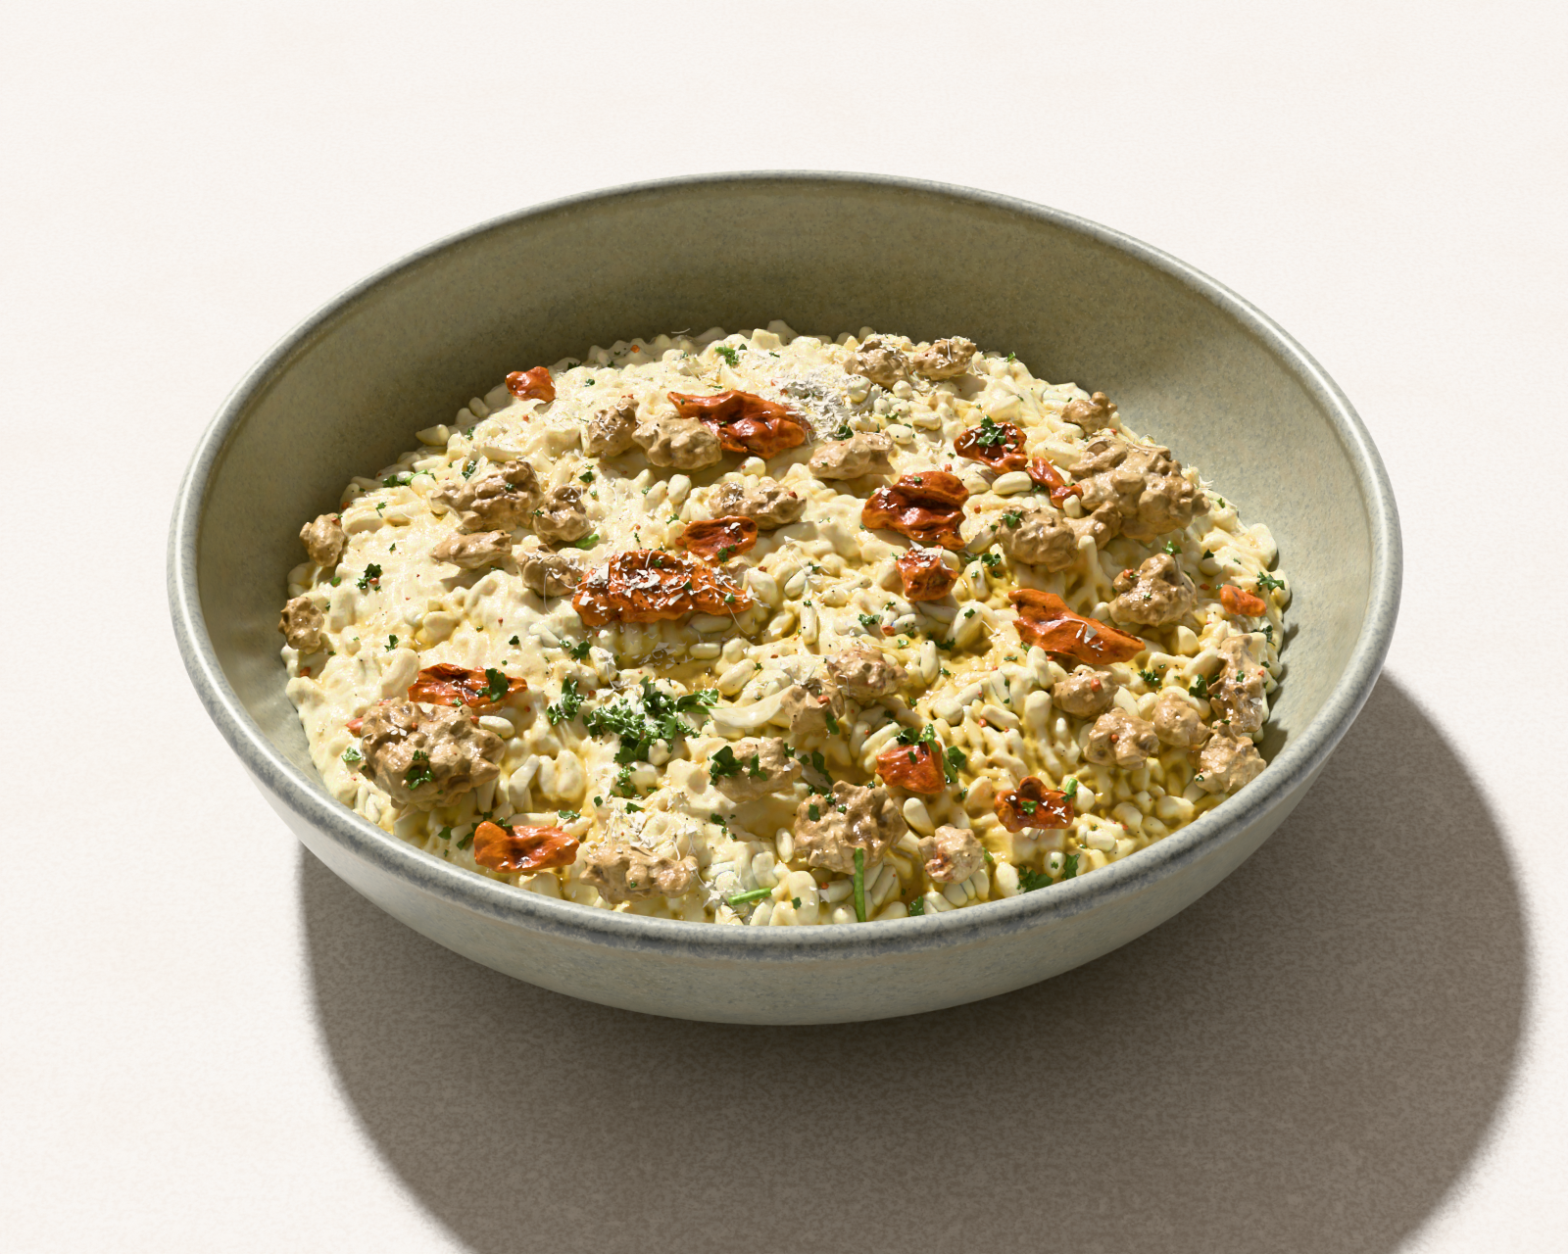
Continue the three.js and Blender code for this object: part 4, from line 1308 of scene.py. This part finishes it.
def make_parsley_bits(ground, rng):
    """Chopped leaves and cut stalks."""
    leaves = [(x, y, 1.1 * size, 0.28) for x, y, size in LARGE_LEAVES]
    leaves += [(x, y, random_size(rng, 0.85, 0.42, 1.0, 5.2), rng.uniform(0, 0.9))
               for x, y in scatter_places(rng, LEAF_SPOTS, LOOSE_LEAVES)]
    parts = []
    for place, normal, size, tint in ground.drops(leaves):
        points, faces, edge = leaf_mesh(rng, size, int(rng.integers(2, 5)), rng.uniform(0.35, 1.05))
        points = laid(points, place, normal, 0.25 + 0.05 * size, 0.35, rng)
        # painted light: each leaf is made brighter towards its edge
        parts.append((points, faces, np.clip(tint + 0.35 * edge, 0, 1)))
    points, faces, tint = joined(parts)
    finish_piece(mesh_object("parsley_leaves", points, faces, make_parsley(), tint=tint))
    parts = []
    for x, y, heading, length in STALKS:
        a = math.radians(heading)
        path = []
        for s in np.linspace(-0.5, 0.5, 8):
            bow = 0.08 * length * math.cos(s * math.pi)
            path.append(ground.drop(x + s * length * math.cos(a) - bow * math.sin(a),
                                    y + s * length * math.sin(a))[0])
        path = np.array(path)
        path[:, 2] = np.polyval(np.polyfit(np.arange(8), path[:, 2], 1), np.arange(8)) + 0.9
        parts.append(tube_mesh(path, 0.85, 10, 0.8, 0.85))
    green = make_crumb("parsley_stalk", (0.12, 0.24, 0.02), (0.26, 0.40, 0.06))
    finish_piece(mesh_object("parsley_stalks", *joined(parts), green))


# Cheese lies in drifts; each row is x, y, spread and count
SHRED_SPOTS = [
    (0, 45, 4.5, 100), (10, 38, 4, 56), (7, 48, 3.5, 46), (-35, -12, 4.5, 34), (-24, -20, 5, 34),
    (-11, -16, 4.5, 26), (-32, -34, 4, 18), (40, 30, 5, 22), (-24, 60, 8, 30), (-8, 66, 7, 30),
    (16, 65, 7, 26), (39, 74, 5, 16), (-34, 24, 6, 22), (-46, 36, 8, 26), (-33, 7, 4, 12), (-7, 6, 5, 14),
    (5, -11, 4, 10), (30, 22, 5, 16), (74, 40, 4, 12), (-27, -62, 4, 14), (-18, -67, 3.5, 10),
    (-29, -70, 3, 8), (-10, -79, 2.5, 6), (3, -40, 4, 14), (40, -59, 3, 6), (12, -31, 3, 8),
    (25, -6, 3, 8), (24, -13, 2.5, 8), (60, 30, 7, 18), (20, 52, 8, 24), (-60, 30, 6, 10),
]


def make_cheese_bits(ground, rng):
    """Grated cheese: flakes, and a few longer threads."""
    flakes, threads = [], []
    for x, y in scatter_places(rng, SHRED_SPOTS, LOOSE_SHREDS):
        if rng.random() < THREAD_SHARE:
            threads.append((x, y, rng.uniform(2.5, 7.0)))
        for _ in range(FLAKES_TOGETHER):
            dx, dy = rng.normal(0, 1.0, 2)
            flakes.append((x + dx, y + dy, random_size(rng, 0.0, 0.6, 0.35, 4.0)))
    cheese = make_cheese()
    parts = []
    for place, normal, size in ground.drops(flakes):
        points, faces = flake_mesh(rng, size)
        points = laid(points, place, normal + (-0.2, 0.4, 0.6), 0.15 + 0.12 * size, 0.4, rng)
        parts.append((points, faces, rng.random()))
    finish_piece(mesh_object("cheese_flakes", *joined(parts)[:2], cheese, False))
    parts = []
    for x, y, length in threads:
        path = thread_path(ground, rng, x, y, length)
        if path is not None:
            parts.append((*tube_mesh(path, rng.uniform(0.09, 0.20), 5, 0.6, 0.35), rng.random()))
    finish_piece(mesh_object("cheese_threads", *joined(parts)[:2], cheese))


def flake_mesh(rng, size):
    """A torn shaving: a short curled strip with ragged sides, thinner at its ends."""
    rows = 4
    t = np.linspace(-1, 1, rows)
    wide = size * rng.uniform(0.08, 0.28)
    curl = rng.uniform(-0.6, 0.6) * size
    lift = rng.uniform(-0.3, 0.9) * size
    mid = np.stack([t * size / 2, curl * t ** 2 * 0.5, lift * t ** 2 * 0.5], -1)
    taper = np.clip(1.15 - np.abs(t) ** 2, 0.2, 1)[:, None]
    side = np.stack([0 * t, np.ones(rows), rng.uniform(-0.8, 0.8) * t], -1)
    left = mid + side * wide * taper * rng.uniform(0.4, 1.5, (rows, 1))
    right = mid - side * wide * taper * rng.uniform(0.4, 1.5, (rows, 1))
    thick = np.array([0, 0, 0.05 + 0.015 * size])
    points = np.stack([left + thick, right + thick, right - thick, left - thick], 1).reshape(-1, 3)
    faces = grid_faces(rows, 4, wrap=True)
    last = (rows - 1) * 4
    ends = np.array([[0, 1, 2], [0, 2, 3], [last, last + 2, last + 1], [last, last + 3, last + 2]])
    return points, np.concatenate([faces, ends])


def thread_path(ground, rng, x, y, length):
    """A curved line that rests on the high spots under it."""
    n = 12
    heading = rng.uniform(0, 2 * math.pi)
    curve = rng.normal(0, 0.10)
    px, py, path = x, y, []
    for _ in range(n):
        hit = ground.drop(px, py)
        if hit is None:
            return None
        path.append(hit[0] + (0, 0, 0.22))
        px += math.cos(heading) * length / n
        py += math.sin(heading) * length / n
        heading += curve + rng.normal(0, 0.12)
    path = np.array(path)
    top = path[:, 2].copy()
    for _ in range(10):
        p = np.pad(path[:, 2], 1, mode="edge")
        path[:, 2] = np.maximum((p[:-2] + p[2:]) / 2, top)
    path[:, 2] = np.convolve(np.pad(path[:, 2], 1, mode="edge"), (0.25, 0.5, 0.25), "valid")
    return path


def lump_mesh(rng, size):
    """A bumpy crumb."""
    bumpy = 1 + 0.35 * smooth_noise(BALL_POINTS * 2.0, 1.1, int(rng.integers(10000)))
    return BALL_POINTS * bumpy[:, None] * size / 2 * rng.uniform(0.6, 1.1, 3), BALL_FACES


def speck_mesh(rng, size):
    """A cracked grain of pepper: six corners, each as far out as chance has it."""
    corners = np.array([[1, 0, 0], [-1, 0, 0], [0, 1, 0], [0, -1, 0], [0, 0, 1], [0, 0, -1]], float)
    faces = np.array([[0, 2, 4], [2, 1, 4], [1, 3, 4], [3, 0, 4], [2, 0, 5], [1, 2, 5], [3, 1, 5], [0, 3, 5]])
    return corners * size / 2 * rng.uniform(0.5, 1.2, (6, 1)), faces


# Where specks and crumbs lie thicker, and the large crumbs: x, y and size
SPECK_SPOTS = [(0, -45, 30, 160)]
CRUMB_SPOTS = [(-20, 0, 40, 40)]
LARGE_CRUMBS = [(25, 22, 6.5), (31, 20, 7.0), (44, -13, 6.0), (-1, 52, 4.0), (-74, -35, 6.0), (-70, -33, 5.0)]


def make_small_bits(ground, rng):
    """Pepper specks, and orange crumbs of tomato."""
    parts = []
    for place, normal in ground.drops(scatter_places(rng, SPECK_SPOTS, LOOSE_SPECKS)):
        points, faces = speck_mesh(rng, random_size(rng, -0.85, 0.38, 0.2, 0.95))
        parts.append((points + place + normal * 0.1, faces))
    pepper = make_crumb("cracked_pepper", (0.025, 0.018, 0.012), (0.11, 0.07, 0.04))
    finish_piece(mesh_object("pepper_specks", *joined(parts), pepper, False))
    parts = []
    for place, _ in ground.drops(scatter_places(rng, CRUMB_SPOTS, LOOSE_CRUMBS)):
        points, faces = lump_mesh(rng, random_size(rng, 0.05, 0.45, 0.5, 2.4))
        parts.append((points + place, faces))
    for place, _, size in ground.drops(LARGE_CRUMBS):
        points, faces = lump_mesh(rng, size)
        parts.append((points * (1, 0.7, 0.45) + place + (0, 0, 0.4), faces))
    orange = make_crumb("tomato_crumb", (0.42, 0.07, 0.015), (0.72, 0.24, 0.05))
    finish_piece(mesh_object("tomato_crumbs", *joined(parts), orange))


# Soft onion slices: x, y, heading in degrees, length and half width
ONIONS = [
    (-4, -45, 5, 17, 2.8), (2, -54, -20, 13, 2.0), (-44, -53, 70, 9, 1.6), (-62, 22, 30, 9, 1.7),
]


def make_onion_bits(ground):
    """Thin, nearly clear slices that lie over the rice and sag into it."""
    parts = []
    for x, y, heading, length, half in ONIONS:
        a = math.radians(heading)
        along = np.linspace(-0.5, 0.5, 22) * length
        bow = 0.12 * length * np.cos(along / length * math.pi)
        px = x + along * math.cos(a) - bow * math.sin(a)
        py = y + along * math.sin(a) + bow * math.cos(a)
        path = np.stack([px, py, 0 * along], -1)
        low = [ground.drop(*spot[:2])[0][2] for spot in path]
        path[:, 2] = np.polyval(np.polyfit(along, low, 3), along) + 0.75
        points, faces = tube_mesh(path, half, 18, 0.2, 0.6)
        points[:, 2] += 0.5 * smooth_noise(points, 3.5, 90) + 0.25 * smooth_noise(points, 1.5, 91)
        parts.append((points, faces))
    finish_piece(mesh_object("onion_slices", *joined(parts), make_onion()))


# ---------------------------------------------------------------- putting it together

def seeded(number):
    return np.random.default_rng(SEED + number)


make_camera()
make_light()
make_floor()
make_bowl()

toppings = cad_arrays(topping_names())
topping_tree = tree_of(*toppings)
topping_box = (toppings[0].min(0), toppings[0].max(0))
topping_tops = top_heights(topping_tree, COARSE)
heap = heap_height(top_heights(tree_of(*cad_arrays(["risotto"])), COARSE), topping_tops)
floor_level = Field(heap.values - SAUCE_DROP + unevenness(topping_tops))

rng = seeded(0)
grains = settle_grains(rng, floor_level, topping_tree, topping_box)
x, y, z = grains[0].T
highest_over_heap = np.where(np.hypot(x, y) > 85, 0.6, 4.2)
keep = z - heap.at(x, y) < highest_over_heap
grains = [v[keep] for v in grains]
loose = loose_grains(rng, heap, grains)
coated = [v[~loose] for v in grains]
sauce, mean_level = sauce_field(heap, coated, top_heights(topping_tree, FINE))

rough_points, rough_faces, _ = grain_meshes(seeded(1), coated, 5, 8)
tree = tree_of(*joined([(rough_points, rough_faces), toppings]))
seen = seen_from_above(rough_points, tree, sauce, len(coated[0]))
coated = [v[seen] for v in coated]
rice, clear_rice = make_rice("cooked_rice", 1.6), make_rice("rice_in_cream", 2.4)
bodies = grain_meshes(seeded(2), coated, 9, 12)[:2]
solids = [make_risotto(core_body(sauce), bodies, coated, mean_level, clear_rice)]
for name, pick in (("rice_grains", loose & ~grains[4]), ("broken_rice", loose & grains[4])):
    chosen = [v[pick] for v in grains]
    points, faces, tint = grain_meshes(seeded(2), chosen, 11, 16)
    middle = np.repeat(chosen[0][:, 2], len(points) // len(chosen[0]))
    # painted shade: darker on each loose grain's lower side and in the hollows
    deep = 0.42 - 0.35 * (points[:, 2] - middle) + 0.85 * hollowness(points, mean_level)
    finish_piece(mesh_object(name, points, faces, rice, tint=tint, deep=deep), "risotto")
    solids.append((points, faces))

plain, crusted, tomato = make_sausage(False), make_sausage(True), make_tomato()
for name in topping_names():
    if name.startswith("sausage_"):
        solids.append(make_sausage_piece(name, rng, sauce, plain, crusted))
    else:
        solids.append(make_tomato_piece(name, rng, tomato))

ground = Ground(solids)
make_parsley_bits(ground, seeded(5))
make_cheese_bits(ground, seeded(6))
make_small_bits(ground, seeded(7))
make_onion_bits(ground)
